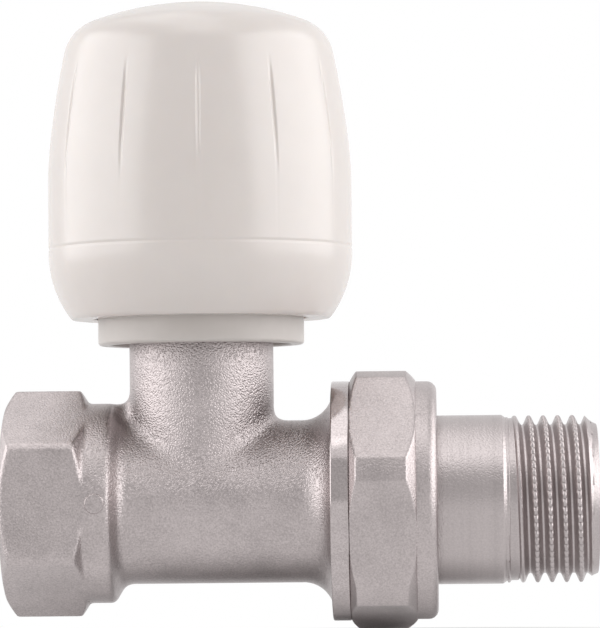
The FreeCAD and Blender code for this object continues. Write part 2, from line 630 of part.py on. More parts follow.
def make_valve_body():
    body = new_body("valve_body")
    turn(body, "barrel", [
        ("band_left_x", "axis"),
        ("band_left_x", "barrel_radius"),
        ("flare_start", "barrel_radius", "flare_arc_radius", 1),
        ("flare_end_x", "flare_end_radius"),
        ("flare_end_x", "union_thread_radius"),
        ("union_chamfer_x", "union_thread_radius"),
        ("union_thread_end", "union_chamfer_radius"),
        ("union_thread_end", "axis"),
    ], "H_Axis")
    seat_primitive(body, "PartDesign::AdditiveCylinder", "neck", "XY_Plane", {},
                   {"Radius": "neck_radius", "Height": "neck_top"})
    round_edges(body, "neck_saddle", edges_where(body, is_saddle_edge), "neck_fillet")
    turn(body, "band", [
        ("band_left_x", "axis"),
        ("band_left_x", "band_radius"),
        ("band_right_x", "band_radius", "band_round_radius", -1),
        ("band_round_x", "band_round_end_radius"),
        ("band_slope_x", "band_slope_end_radius", "band_fillet_radius", 1),
        ("band_fillet_x", "barrel_radius"),
        ("band_fillet_x", "axis"),
    ], "H_Axis")
    hexagon_prism(body, "inlet_hexagon", "YZ_Plane", "mouth_x", "hexagon_corner_radius",
                  "hexagon_length", "hexagon_clocking")
    round_edges(body, "inlet_hexagon_rounds", edges_where(body, is_hexagon_corner),
                "hexagon_edge_round")
    turn_away(body, "inlet_hexagon_mouth_chamfer", [
        ("mouth_x", "hexagon_rim_radius"),
        ("hexagon_mouth_chamfer_x", "hexagon_turned_radius"),
        ("hexagon_mouth_chamfer_x", "hexagon_outside_radius"),
        ("mouth_x", "hexagon_outside_radius"),
    ], "H_Axis")
    turn_away(body, "inlet_hexagon_back_chamfer", [
        ("hexagon_back_x", "band_radius"),
        ("hexagon_back_x", "hexagon_outside_radius"),
        ("hexagon_back_chamfer_x", "hexagon_outside_radius"),
        ("hexagon_back_chamfer_x", "hexagon_turned_radius"),
    ], "H_Axis")
    seat_primitive(body, "PartDesign::AdditiveCylinder", "band_button", "XZ_Plane",
                   {"x": "band_middle_x"},
                   {"Radius": "band_button_radius", "Height": "band_button_reach"})
    bore_valve_body(body)
    return body


def is_hexagon_corner(edge):
    """True for the straight edges along the inlet hexagon's corners."""
    ends = [vertex.Point for vertex in edge.Vertexes]
    radius = number_of("hexagon_corner_radius")
    on_corner = all(abs(math.hypot(end.y, end.z) - radius) < 1e-3 for end in ends)
    return on_corner and abs(ends[0].x - ends[-1].x) > 1e-3


def is_saddle_edge(edge):
    """True where the neck stands on the barrel."""
    radius = number_of("neck_radius")
    points = edge.discretize(9)
    on_neck = all(abs(math.hypot(p.x, p.y) - radius) < 1e-3 for p in points)
    heights = [p.z for p in points]
    return on_neck and max(heights) - min(heights) > 1e-3 and max(heights) < number_of("neck_top")


def bore_valve_body(body):
    """Inlet socket, waterway, valve seat, neck and union mouth."""
    turn_away(body, "inlet_socket", [
        ("mouth_x", "axis"),
        ("mouth_x", "socket_lead_radius"),
        ("socket_thread_x", "socket_bore_radius"),
        ("socket_end_x", "socket_bore_radius"),
        ("socket_end_x", "axis"),
    ], "H_Axis")
    seat_primitive(body, "PartDesign::SubtractiveCylinder", "inlet_passage", "YZ_Plane",
                   {"z": "inlet_passage_start_x", "y": "inlet_passage_level"},
                   {"Radius": "inlet_passage_radius", "Height": "inlet_passage_length"})
    turn_away(body, "seat_and_neck", [
        ("axis", "inlet_passage_level"),
        ("seat_hole_radius", "inlet_passage_level"),
        ("seat_hole_radius", "seat_top"),
        ("seat_rim_radius", "seat_top"),
        ("seat_rim_radius", "chamber_floor"),
        ("chamber_radius", "chamber_floor"),
        ("chamber_radius", "neck_thread_foot"),
        ("bonnet_thread_radius", "neck_thread_foot"),
        ("bonnet_thread_radius", "gasket_chamfer_foot"),
        ("gasket_chamfer_radius", "neck_top"),
        ("axis", "neck_top"),
    ], "V_Axis")
    seat_primitive(body, "PartDesign::SubtractiveCylinder", "outlet_passage", "YZ_Plane",
                   {"z": "outlet_passage_start", "y": "outlet_passage_rise"},
                   {"Radius": "outlet_passage_radius", "Height": "outlet_passage_length"})
    turn_away(body, "union_mouth", [
        ("outlet_throat_start", "axis"),
        ("outlet_throat_start", "outlet_throat_radius"),
        ("nose_cone_x", "outlet_throat_radius"),
        ("nose_bore_x", "nose_bore_radius"),
        ("nose_mouth_x", "nose_bore_radius"),
        ("union_thread_end", "nose_mouth_radius"),
        ("union_thread_end", "axis"),
    ], "H_Axis")


# Bonnet, its seal and the collar that it holds down on the neck

def make_bonnet():
    body = new_body("bonnet")
    turn(body, "bonnet_barrel", [
        ("axis", "bonnet_foot"),
        ("bonnet_foot_radius", "bonnet_foot"),
        ("bonnet_foot_radius", "bonnet_thread_start"),
        ("bonnet_fit_radius", "bonnet_thread_start"),
        ("bonnet_fit_radius", "bonnet_flange_top"),
        ("bonnet_spigot_radius", "bonnet_flange_top"),
        ("bonnet_spigot_radius", "bonnet_top"),
        ("axis", "bonnet_top"),
    ], "V_Axis")
    hexagon_prism(body, "bonnet_flange", "XY_Plane", "collar_web_top", "bonnet_flange_corner",
                  "bonnet_flange_height")
    turn_away(body, "bonnet_bore", [
        ("axis", "bonnet_foot"),
        ("bonnet_cavity_radius", "bonnet_foot"),
        ("bonnet_cavity_radius", "bonnet_cavity_top"),
        ("bonnet_nut_radius", "bonnet_cavity_top"),
        ("bonnet_nut_radius", "bonnet_nut_top"),
        ("bonnet_slide_radius", "bonnet_nut_top"),
        ("bonnet_slide_radius", "gland_floor"),
        ("gland_chamber_radius", "gland_floor"),
        ("gland_chamber_radius", "gland_thread_bottom"),
        ("gland_thread_radius", "gland_thread_bottom"),
        ("gland_thread_radius", "bonnet_top"),
        ("axis", "bonnet_top"),
    ], "V_Axis")
    return body


def make_bonnet_o_ring():
    return seal_ring("bonnet_o_ring", "gasket_middle_radius", "gasket_middle",
                     "bonnet_gasket_section", "XY_Plane")


def make_collar_ring():
    body = new_body("collar_ring")
    turn(body, "collar", [
        ("collar_hole_radius", "neck_top"),
        ("collar_inner_radius", "neck_top"),
        ("collar_inner_radius", "collar_bottom"),
        ("collar_edge_radius", "collar_bottom", "collar_edge_round", 1),
        ("collar_radius", "collar_edge_height"),
        ("collar_radius", "collar_top"),
        ("collar_inner_radius", "collar_top"),
        ("collar_inner_radius", "collar_web_top"),
        ("collar_hole_radius", "collar_web_top"),
    ], "V_Axis")
    return body


# Gland: the nut, the ring that seals the stem and the ring that backs it

def make_gland_nut():
    body = new_body("gland_nut")
    turn(body, "gland_screw", [
        ("bonnet_slide_radius", "backing_ring_top"),
        ("gland_foot_radius", "backing_ring_top"),
        ("gland_foot_radius", "gland_thread_bottom"),
        ("gland_fit_radius", "gland_thread_bottom"),
        ("gland_fit_radius", "gland_head_top"),
        ("bonnet_slide_radius", "gland_head_top"),
    ], "V_Axis")
    hexagon_prism(body, "gland_head", "XY_Plane", "bonnet_top", "gland_head_corner",
                  "gland_head_height")
    turn_away(body, "gland_bore", [
        ("axis", "backing_ring_top"),
        ("bonnet_slide_radius", "backing_ring_top"),
        ("bonnet_slide_radius", "gland_head_top"),
        ("axis", "gland_head_top"),
    ], "V_Axis")
    return body


def make_gland_o_ring():
    return seal_ring("gland_o_ring", "gland_ring_middle_radius", "gland_ring_middle",
                     "gland_ring_section", "XY_Plane")


def make_gland_backing_ring():
    body = new_body("gland_backing_ring")
    turn(body, "backing", [
        ("bonnet_slide_radius", "backing_ring_bottom"),
        ("backing_ring_radius", "backing_ring_bottom"),
        ("backing_ring_radius", "backing_ring_top"),
        ("bonnet_slide_radius", "backing_ring_top"),
    ], "V_Axis")
    return body


# Valve disc: the holder, its rubber washer and the rivet that holds the washer

def make_disc_holder():
    body = new_body("disc_holder")
    turn(body, "holder", [
        ("holder_recess_radius", "holder_bottom"),
        ("holder_radius", "holder_bottom"),
        ("holder_radius", "holder_web_top"),
        ("holder_hub_radius", "holder_web_top"),
        ("holder_hub_radius", "holder_hub_top"),
        ("holder_bore_radius", "holder_hub_top"),
        ("holder_bore_radius", "clip_slot_top"),
        ("clip_slot_radius", "clip_slot_top"),
        ("clip_slot_radius", "clip_slot_bottom"),
        ("holder_bore_radius", "clip_slot_bottom"),
        ("holder_bore_radius", "holder_bore_floor"),
        ("rivet_hole_radius", "holder_bore_floor"),
        ("rivet_hole_radius", "washer_top"),
        ("holder_recess_radius", "washer_top"),
    ], "V_Axis")
    seat_primitive(body, "PartDesign::SubtractiveBox", "clip_slot", "XY_Plane",
                   {"x": "clip_slot_left", "z": "clip_slot_bottom"},
                   {"Length": "clip_slot_width", "Width": "holder_radius",
                    "Height": "clip_slot_height"})
    return body


def make_seat_washer():
    body = new_body("seat_washer")
    turn(body, "washer", [
        ("washer_hole_radius", "washer_bottom"),
        ("washer_radius", "washer_bottom"),
        ("washer_radius", "washer_top"),
        ("washer_hole_radius", "washer_top"),
    ], "V_Axis")
    return body


def make_washer_rivet():
    body = new_body("washer_rivet")
    turn(body, "rivet", [
        ("axis", "rivet_bottom"),
        ("rivet_crown_radius", "rivet_bottom"),
        ("rivet_head_radius", "rivet_crown_top"),
        ("rivet_head_radius", "washer_bottom"),
        ("rivet_shank_radius", "washer_bottom"),
        ("rivet_shank_radius", "rivet_top"),
        ("axis", "rivet_top"),
    ], "V_Axis")
    return body


# Stem, its seal and the clip that carries the disc

def make_stem():
    body = new_body("stem", "wheel_groove_turn")
    turn(body, "stem_rod", [
        ("axis", "stem_bottom"),
        ("stem_pin_radius", "stem_bottom"),
        ("stem_pin_radius", "clip_slot_bottom"),
        ("clip_neck_radius", "clip_slot_bottom"),
        ("clip_neck_radius", "clip_slot_top"),
        ("stem_pin_radius", "clip_slot_top"),
        ("stem_pin_radius", "stem_shoulder"),
        ("stem_thread_radius", "stem_shoulder"),
        ("stem_thread_radius", "stem_thread_top"),
        ("stem_radius", "stem_thread_top"),
        ("stem_radius", "stem_groove_bottom"),
        ("stem_groove_radius", "stem_groove_bottom"),
        ("stem_groove_radius", "stem_groove_top"),
        ("stem_radius", "stem_groove_top"),
        ("stem_radius", "stem_square_start"),
        ("axis", "stem_square_start"),
    ], "V_Axis")
    square = seat_primitive(
        body, "PartDesign::AdditivePrism", "stem_square_end", "XY_Plane",
        {"z": "stem_square_start"},
        {"Circumradius": "stem_square_corner", "Height": "stem_square_length"},
    )
    square.Polygon = 4
    document.recompute()
    turn_away(body, "stem_tap", [
        ("axis", "stem_tap_bottom"),
        ("stem_tap_radius", "stem_tap_bottom"),
        ("stem_tap_radius", "stem_top"),
        ("axis", "stem_top"),
    ], "V_Axis")
    return body


def make_stem_o_ring():
    return seal_ring("stem_o_ring", "stem_ring_middle_radius", "stem_groove_height",
                     "stem_ring_section", "XY_Plane")


def make_stem_clip():
    body = new_body("stem_clip")
    turn(body, "clip", [
        ("clip_inner_radius", "clip_bottom"),
        ("clip_outer_radius", "clip_bottom"),
        ("clip_outer_radius", "clip_top"),
        ("clip_inner_radius", "clip_top"),
    ], "V_Axis")
    seat_primitive(body, "PartDesign::SubtractiveBox", "clip_opening", "XY_Plane",
                   {"x": "clip_opening_left", "z": "clip_bottom"},
                   {"Length": "clip_opening_width", "Width": "clip_slot_radius",
                    "Height": "clip_thickness"})
    return body


# Handwheel: a moulded shell with a hub, twelve grip grooves and a recess for its screw

def make_handwheel():
    body = new_body("handwheel", "wheel_groove_turn")
    turn(body, "wheel_shell", [
        ("wheel_recess_radius", "wheel_recess_edge", "wheel_dome_arc", -1),
        ("wheel_dome_radius", "wheel_dome_edge", "wheel_shoulder_arc", -1),
        ("wheel_shoulder_radius", "wheel_shoulder", "wheel_flank_arc", -1),
        ("wheel_bend_radius", "wheel_bend", "wheel_waist_arc", -1),
        ("wheel_radius", "wheel_waist"),
        ("wheel_radius", "wheel_line_top"),
        ("wheel_line_radius", "wheel_line_middle"),
        ("wheel_radius", "wheel_line", "wheel_foot_arc", -1),
        ("wheel_foot_radius", "wheel_foot_edge", "wheel_foot_round", -1),
        ("wheel_foot_face_radius", "wheel_bottom"),
        ("wheel_mouth_radius", "wheel_bottom"),
        ("wheel_mouth_radius", "wheel_foot_top"),
        ("wheel_inner_foot_radius", "wheel_inner_foot"),
        ("wheel_inner_radius", "wheel_line"),
        ("wheel_inner_radius", "wheel_waist"),
        ("wheel_inner_bend_radius", "wheel_bend"),
        ("wheel_inner_shoulder_radius", "wheel_inner_shoulder"),
        ("wheel_inner_dome_radius", "wheel_inner_dome"),
        ("wheel_recess_outer", "wheel_recess_roof"),
        ("wheel_recess_outer", "wheel_recess_under"),
        ("wheel_hub_radius", "wheel_recess_under"),
        ("wheel_hub_radius", "wheel_hub_start"),
        ("wheel_drive_radius", "wheel_hub_start"),
        ("wheel_drive_radius", "wheel_drive_top"),
        ("screw_hole_radius", "wheel_drive_top"),
        ("screw_hole_radius", "wheel_recess_bottom"),
        ("wheel_recess_radius", "wheel_recess_bottom"),
    ], "V_Axis")
    drive = seat_primitive(
        body, "PartDesign::SubtractivePrism", "wheel_square_drive", "XY_Plane",
        {"z": "wheel_hub_start"},
        {"Circumradius": "wheel_drive_corner", "Height": "wheel_drive_length"},
    )
    drive.Polygon = 4
    document.recompute()
    cut_grip_grooves(body)
    return body


def cut_grip_grooves(body):
    """Straight saw cuts in the convex side: each fades out at both of its ends."""
    sketch = draw_outline(body, "grip_groove_outline", [
        ("wheel_groove_high_radius", "wheel_groove_high"),
        ("wheel_groove_clear_radius", "wheel_groove_high"),
        ("wheel_groove_clear_radius", "wheel_groove_low"),
        ("wheel_groove_low_radius", "wheel_groove_low"),
    ])
    groove = body.newObject("PartDesign::Pocket", "grip_groove")
    groove.Profile = sketch
    groove.Midplane = True
    bind(groove, "Length", "wheel_groove_width")
    document.recompute()
    pattern = body.newObject("PartDesign::PolarPattern", "grip_grooves")
    pattern.Originals = [groove]
    pattern.Axis = (sketch, ["V_Axis"])
    pattern.Angle = 360
    bind(pattern, "Occurrences", "wheel_groove_count")
    body.Tip = pattern
    document.recompute()


# Screw, lock washer and cap at the top of the handwheel

def make_handwheel_screw():
    body = new_body("handwheel_screw")
    turn(body, "screw", [
        ("axis", "screw_tip"),
        ("screw_shank_radius", "screw_tip"),
        ("screw_shank_radius", "lock_washer_top"),
        ("screw_head_radius", "lock_washer_top"),
        ("screw_head_radius", "screw_head_edge"),
        ("screw_head_crown_radius", "screw_head_top"),
        ("axis", "screw_head_top"),
    ], "V_Axis")
    seat_primitive(body, "PartDesign::SubtractiveBox", "screw_slot", "XY_Plane",
                   {"x": "screw_slot_left", "y": "screw_slot_front", "z": "screw_slot_bottom"},
                   {"Length": "screw_slot_length", "Width": "screw_slot_width",
                    "Height": "screw_slot_height"})
    return body


def make_lock_washer():
    body = new_body("lock_washer")
    turn(body, "lock_ring", [
        ("screw_hole_radius", "wheel_recess_bottom"),
        ("lock_washer_radius", "wheel_recess_bottom"),
        ("lock_washer_radius", "lock_washer_top"),
        ("screw_hole_radius", "lock_washer_top"),
    ], "V_Axis")
    seat_primitive(body, "PartDesign::SubtractiveBox", "lock_ring_slit", "XY_Plane",
                   {"z": "wheel_recess_bottom"},
                   {"Length": "screw_slot_length", "Width": "lock_washer_slit",
                    "Height": "lock_washer_thickness"})
    return body


def make_handwheel_cap():
    body = new_body("handwheel_cap")
    turn(body, "cap", [
        ("axis", "wheel_top", "wheel_dome_arc", -1),
        ("cap_radius", "cap_edge"),
        ("cap_radius", "cap_bottom"),
        ("cap_inner_radius", "cap_bottom"),
        ("cap_inner_radius", "cap_ceiling"),
        ("axis", "cap_ceiling"),
    ], "V_Axis")
    return body


# Union: the nut, the tailpiece that it draws in and the ring on the tailpiece's nose

def make_union_nut():
    body = new_body("union_nut")
    turn(body, "nut_collars", [
        ("nut_start", "axis"),
        ("nut_start", "nut_left_edge_radius"),
        ("nut_left_edge_x", "nut_left_collar_radius"),
        ("nut_hexagon_middle_x", "nut_left_collar_radius"),
        ("nut_hexagon_middle_x", "nut_right_collar_radius"),
        ("nut_round_x", "nut_right_collar_radius", "nut_right_collar_round", -1),
        ("nut_end", "nut_round_radius"),
        ("nut_end", "axis"),
    ], "H_Axis")
    hexagon_prism(body, "nut_hexagon", "YZ_Plane", "nut_hexagon_x", "nut_hexagon_corner",
                  "nut_hexagon_length", "nut_hexagon_clocking")
    turn_away(body, "nut_corners", [
        ("nut_hexagon_x", "nut_flat_radius"),
        ("nut_chamfer_left_x", "nut_corner_radius"),
        ("nut_chamfer_right_x", "nut_corner_radius"),
        ("nut_hexagon_end_x", "nut_flat_radius"),
        ("nut_hexagon_end_x", "nut_clear_radius"),
        ("nut_hexagon_x", "nut_clear_radius"),
    ], "H_Axis")
    turn_away(body, "nut_bore", [
        ("nut_start", "axis"),
        ("nut_start", "nut_mouth_radius"),
        ("nut_mouth_x", "nut_thread_radius"),
        ("nut_lip_x", "nut_thread_radius"),
        ("nut_lip_x", "nut_lip_radius"),
        ("nut_end", "nut_lip_radius"),
        ("nut_end", "axis"),
    ], "H_Axis")
    return body


def make_tailpiece():
    body = new_body("tailpiece")
    turn(body, "tail", [
        ("tail_nose_x", "tail_bore_radius"),
        ("tail_nose_x", "tail_nose_chamfer_radius"),
        ("tail_nose_chamfer_x", "tail_nose_radius"),
        ("tail_groove_x", "tail_nose_radius"),
        ("tail_groove_x", "tail_groove_radius"),
        ("tail_groove_end_x", "tail_groove_radius"),
        ("tail_groove_end_x", "tail_nose_radius"),
        ("tail_flange_x", "tail_nose_radius"),
        ("tail_flange_x", "tail_flange_radius"),
        ("tail_flange_end", "tail_flange_radius"),
        ("tail_flange_end", "tail_tube_radius"),
        ("tail_tube_end", "tail_tube_radius"),
        ("tail_relief_x", "tail_relief_radius"),
        ("tail_thread_start", "tail_relief_radius"),
        ("tail_thread_lead_x", "tail_thread_radius"),
        ("tail_thread_chamfer_x", "tail_thread_radius"),
        ("tail_thread_end_x", "tail_pilot_radius"),
        ("tail_end_chamfer_x", "tail_pilot_radius"),
        ("tail_end", "tail_end_rim_radius"),
        ("tail_end", "tail_end_mouth_radius"),
        ("tail_end_chamfer_x", "tail_bore_radius"),
    ], "H_Axis")
    add_key_lugs(body)
    return body


def add_key_lugs(body):
    """Two lugs in the bore, by which a stepped key holds the tailpiece."""
    lug = draw_outline(body, "key_lug_outline", [
        ("tail_lug_start", "tail_lug_radius"),
        ("tail_lug_start", "tail_lug_root"),
        ("tail_lug_end", "tail_lug_root"),
        ("tail_lug_end", "tail_lug_radius"),
    ])
    pad = body.newObject("PartDesign::Pad", "key_lug")
    pad.Profile = lug
    pad.Midplane = True
    bind(pad, "Length", "tail_lug_width")
    document.recompute()
    pattern = body.newObject("PartDesign::PolarPattern", "key_lugs")
    pattern.Originals = [pad]
    pattern.Axis = (lug, ["H_Axis"])
    pattern.Angle = 360
    pattern.Occurrences = 2
    body.Tip = pattern
    document.recompute()


def make_tail_o_ring():
    return seal_ring("tail_o_ring", "tail_ring_middle_radius", "tail_ring_x",
                     "tail_ring_section", "YZ_Plane")


# Build, check and write

def check_document(bodies):
    """Stop before anything is written if an object failed or a piece is not one sound solid."""
    for item in document.Objects:
        if "Invalid" in item.State or "Error" in item.State:
            raise RuntimeError(f"{item.Label} failed: {item.State}")
    for body in bodies:
        shape = body.Shape
        if shape.isNull() or not shape.isValid() or len(shape.Solids) != 1:
            raise RuntimeError(f"{body.Label} is not one valid solid")


def build():
    fill_sheet(sizes, SIZES, "")
    fill_sheet(stations, STATIONS, "=")
    document.recompute()
    makers = (
        make_valve_body, make_bonnet, make_bonnet_o_ring, make_collar_ring, make_gland_nut,
        make_gland_o_ring, make_gland_backing_ring, make_disc_holder, make_seat_washer,
        make_washer_rivet, make_stem, make_stem_o_ring, make_stem_clip, make_handwheel,
        make_handwheel_screw, make_lock_washer, make_handwheel_cap, make_union_nut,
        make_tailpiece, make_tail_o_ring,
    )
    bodies = [maker() for maker in makers]
    document.recompute()
    check_document(bodies)
    os.makedirs("parts", exist_ok=True)
    for body in bodies:
        body.Shape.exportStep(f"parts/{body.Label}.step")
        print(f"{body.Label}: {body.Shape.Volume:.1f} mm3, box {body.Shape.BoundBox}")


build()
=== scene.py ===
"""Looks of a manual radiator valve: smooth skins for the pieces that show, finishes, studio and camera.

The frame is in metres with X along the pipe and Z up the stem. Sizes here are in millimetres and are
turned into metres where a point is placed.
"""

import math

import bpy
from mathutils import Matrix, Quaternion, Vector


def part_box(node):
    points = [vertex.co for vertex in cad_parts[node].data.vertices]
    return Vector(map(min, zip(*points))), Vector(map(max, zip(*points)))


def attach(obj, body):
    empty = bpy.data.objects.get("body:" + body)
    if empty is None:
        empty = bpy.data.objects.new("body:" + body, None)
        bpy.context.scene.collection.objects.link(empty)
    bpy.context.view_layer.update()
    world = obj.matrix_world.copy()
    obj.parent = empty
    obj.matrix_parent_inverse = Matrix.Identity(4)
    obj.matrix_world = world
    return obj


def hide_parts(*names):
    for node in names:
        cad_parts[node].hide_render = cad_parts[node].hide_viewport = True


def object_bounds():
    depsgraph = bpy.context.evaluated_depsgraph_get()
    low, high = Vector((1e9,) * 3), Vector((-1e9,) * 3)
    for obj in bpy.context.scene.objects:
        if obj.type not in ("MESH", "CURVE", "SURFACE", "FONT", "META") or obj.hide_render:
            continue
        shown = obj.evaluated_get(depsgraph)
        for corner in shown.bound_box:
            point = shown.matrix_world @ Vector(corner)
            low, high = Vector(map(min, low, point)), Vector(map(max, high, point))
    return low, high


MM = 0.001
FULL_TURN = 2 * math.pi
ON_AXIS = 0.001
FINE_SWEEP = ((256, FULL_TURN),)

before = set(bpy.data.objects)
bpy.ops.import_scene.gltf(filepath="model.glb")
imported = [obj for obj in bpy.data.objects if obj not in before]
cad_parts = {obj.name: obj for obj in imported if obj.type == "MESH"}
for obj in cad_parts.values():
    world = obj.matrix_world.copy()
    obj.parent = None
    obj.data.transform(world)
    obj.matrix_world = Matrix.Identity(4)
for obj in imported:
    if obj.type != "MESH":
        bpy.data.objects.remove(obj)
cad_low, cad_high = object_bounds()


def box_of(node):
    """Lowest and highest corner of a CAD node in millimetres."""
    low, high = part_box(node)
    return Vector(low) / MM, Vector(high) / MM


# Places read from the frame
wheel_low, wheel_high = box_of("handwheel")
cap_low, cap_high = box_of("handwheel_cap")
collar_low, collar_high = box_of("collar_ring")
body_low, body_high = box_of("valve_body")
nut_low, nut_high = box_of("union_nut")
tail_low, tail_high = box_of("tailpiece")
STEM_X = (wheel_low.x + wheel_high.x) / 2
WHEEL_RADIUS = (wheel_high.y - wheel_low.y) / 2
WHEEL_FOOT = wheel_low.z
WHEEL_TOP = cap_high.z

# Pipe threads, 55 degree form
PITCH = 1.8143
THREAD_DEPTH = 1.162
SOCKET_CREST = 9.315
UNION_CREST = 13.22
TAIL_CREST = 10.478
UNION_THREAD_START = 41.2
SOCKET_END = 11.2

# Forging of the body
BARREL_RADIUS = 10.2
NECK_RADIUS = 9.08
NECK_TOP = 21.5
BAND_RADIUS = 12.55
BUTTON_X = 11.1
INLET_FLATS = 25.0
INLET_LENGTH = 10.3

# Union nut and tailpiece
NUT_FLATS = 30.0
NUT_CORNER = 13.85
NUT_COLLAR = 2.3
NUT_HEXAGON = 8.3
TAIL_BORE = 7.6
TUBE_RADIUS = 10.6
FLANGE_RADIUS = 12.6
PILOT_RADIUS = 9.7
TAIL_THREAD_START = 62.2
TAIL_THREAD_END = 72.6

# Handwheel
WHEEL_DOME = 39.3
GROOVE_COUNT = 12
GROOVE_TURN = 2.9


# Small tools

def deselect():
    bpy.ops.object.select_all(action="DESELECT")


def pick(piece):
    """Makes a piece the only one selected."""
    deselect()
    piece.select_set(True)
    bpy.context.view_layer.objects.active = piece


def edit(piece):
    """Opens a piece for editing with everything in it selected."""
    pick(piece)
    bpy.ops.object.mode_set(mode="EDIT")
    bpy.ops.mesh.select_mode(type="VERT")
    bpy.ops.mesh.select_all(action="SELECT")


def close():
    bpy.ops.object.mode_set(mode="OBJECT")


def tidy(piece, merge=0.0005):
    """Merges points that coincide and turns the faces outward."""
    edit(piece)
    bpy.ops.mesh.remove_doubles(threshold=merge * MM)
    bpy.ops.mesh.normals_make_consistent(inside=False)
    close()


def smooth(piece, angle):
    """Shades a piece smooth across edges below an angle in degrees."""
    pick(piece)
    bpy.ops.object.shade_smooth_by_angle(angle=math.radians(angle))


def apply_modifier(piece, kind, **settings):
    pick(piece)
    bpy.ops.object.modifier_add(type=kind)
    modifier = piece.modifiers[-1]
    for name, value in settings.items():
        setattr(modifier, name, value)
    bpy.ops.object.modifier_apply(modifier=modifier.name)


def combine(piece, tool, operation):
    """Adds, cuts or keeps the common part with a tool, which is used up."""
    apply_modifier(piece, "BOOLEAN", operation=operation, solver="MANIFOLD", object=tool)
    pick(tool)
    bpy.ops.object.delete()


def on_stem(along, out):
    """A point in the plane of the stem axis, at a height and a distance from that axis."""
    return Vector((STEM_X + out, 0, along)) * MM


def on_pipe(along, out):
    """A point in the plane of the pipe axis, at a station and a distance from that axis."""
    return Vector((along, 0, out)) * MM


def on_wheel(along, out):
    """The same as on_stem, in the plane of one of the handwheel's grooves."""
    turn = math.radians(GROOVE_TURN)
    return Vector((STEM_X + out * math.cos(turn), out * math.sin(turn), along)) * MM


def on_button(along, out):
    """A point beside the axis of the forging's button, which looks to the front."""
    return Vector((BUTTON_X + out, -along, 0)) * MM


STEM = (on_stem, Vector((0, 0, 1)))
WHEEL = (on_wheel, Vector((0, 0, 1)))
PIPE = (on_pipe, Vector((1, 0, 0)))
BUTTON = (on_button, Vector((0, -1, 0)))


def rounded(corners, pieces=5):
    """An outline whose corners (along, out, round) are rounded where a round is given."""
    points = []
    count = len(corners)
    for index, corner in enumerate(corners):
        here = Vector(corner[:2])
        radius = corner[2] if len(corner) > 2 else 0
        if radius == 0:
            points.append(tuple(here))
            continue
        back = (Vector(corners[index - 1][:2]) - here).normalized()
        ahead = (Vector(corners[(index + 1) % count][:2]) - here).normalized()
        half = back.angle(ahead) / 2
        centre = here + (back + ahead).normalized() * radius / math.sin(half)
        first = here + back * radius / math.tan(half) - centre
        last = here + ahead * radius / math.tan(half) - centre
        for step in range(pieces + 1):
            share = step / pieces
            spoke = first.lerp(last, share).normalized() * radius
            points.append(tuple(centre + spoke))
    return points


def arc_run(points, radius, start, end, pieces):
    """Goes on from the last (along, out) point round an arc, by angles from the axis."""
    along, out = points[-1]
    for step in range(1, pieces + 1):
        angle = math.radians(start + (end - start) * step / pieces)
        first = math.radians(start)
        points.append((along + radius * (math.cos(angle) - math.cos(first)),
                       out + radius * (math.sin(angle) - math.sin(first))))


def bow(start, end, radius, side, pieces=8):
    """Points on an arc from start to end: hollow where side is 1, bulging where it is -1."""
    start, end = Vector(start), Vector(end)
    chord = end - start
    rise = math.sqrt(radius ** 2 - chord.length_squared / 4)
    centre = (start + end) / 2 + Vector((-chord.y, chord.x)).normalized() * side * rise
    points = []
    for step in range(pieces + 1):
        spoke = (start - centre).lerp(end - centre, step / pieces).normalized() * radius
        points.append(tuple(centre + spoke))
    return points


def draw_line(name, points):
    """A chain of edges, drawn on from point to point."""
    deselect()
    bpy.ops.mesh.primitive_plane_add(size=MM)
    piece = bpy.context.object
    piece.name = name
    bpy.ops.object.mode_set(mode="EDIT")
    bpy.ops.mesh.merge(type="CENTER")
    bpy.ops.transform.translate(value=points[0])
    for last, point in zip(points, points[1:]):
        bpy.ops.mesh.extrude_region_move(TRANSFORM_OT_translate={"value": point - last})
    return piece


def turned(name, outline, lathe, sweeps=((192, FULL_TURN),), repeats=1):
    """Draws a closed outline beside an axis and spins it, in one or more sweeps that may repeat."""
    place, axis = lathe
    points = [place(*corner) for corner in outline]
    points.append(points[0])
    piece = draw_line(name, points)
    bpy.ops.mesh.select_all(action="SELECT")
    for steps, angle in sweeps:
        bpy.ops.mesh.spin(steps=steps, angle=angle, center=place(0, 0), axis=axis)
    if repeats > 1:
        bpy.ops.mesh.select_all(action="SELECT")
        bpy.ops.mesh.spin(steps=repeats - 1, angle=FULL_TURN * (repeats - 1) / repeats, dupli=True,
                          center=place(0, 0), axis=axis)
    close()
    tidy(piece)
    return piece


def press(piece, lathe, rule):
    """Moves every point towards or away from an axis: rule(along, angle, out) gives the new distance."""
    place, axis = lathe
    origin = place(0, 0)
    for vertex in piece.data.vertices:
        offset = vertex.co - origin
        along = offset.dot(axis)
        spoke = offset - axis * along
        out = spoke.length
        if out < 1e-7:
            continue
        if axis.z:
            angle = math.atan2(spoke.y, spoke.x)
        else:
            angle = math.atan2(spoke.z, spoke.y)
        vertex.co += spoke * (rule(along / MM, angle, out / MM) * MM / out - 1)


def hexagon(name, across_flats, start, end, first_corner):
    """A six-sided prism along the pipe, with one corner at an angle up from -Y."""
    deselect()
    bpy.ops.mesh.primitive_cylinder_add(
        vertices=6, radius=across_flats / 2 / math.cos(math.pi / 6) * MM, depth=(end - start) * MM)
    piece = bpy.context.object
    piece.name = name
    edit(piece)
    bpy.ops.transform.rotate(value=math.pi / 2, orient_axis="Y", center_override=(0, 0, 0))
    bpy.ops.transform.rotate(value=math.radians(first_corner), orient_axis="X",
                             center_override=(0, 0, 0))
    bpy.ops.transform.translate(value=((start + end) / 2 * MM, 0, 0))
    close()
    return piece


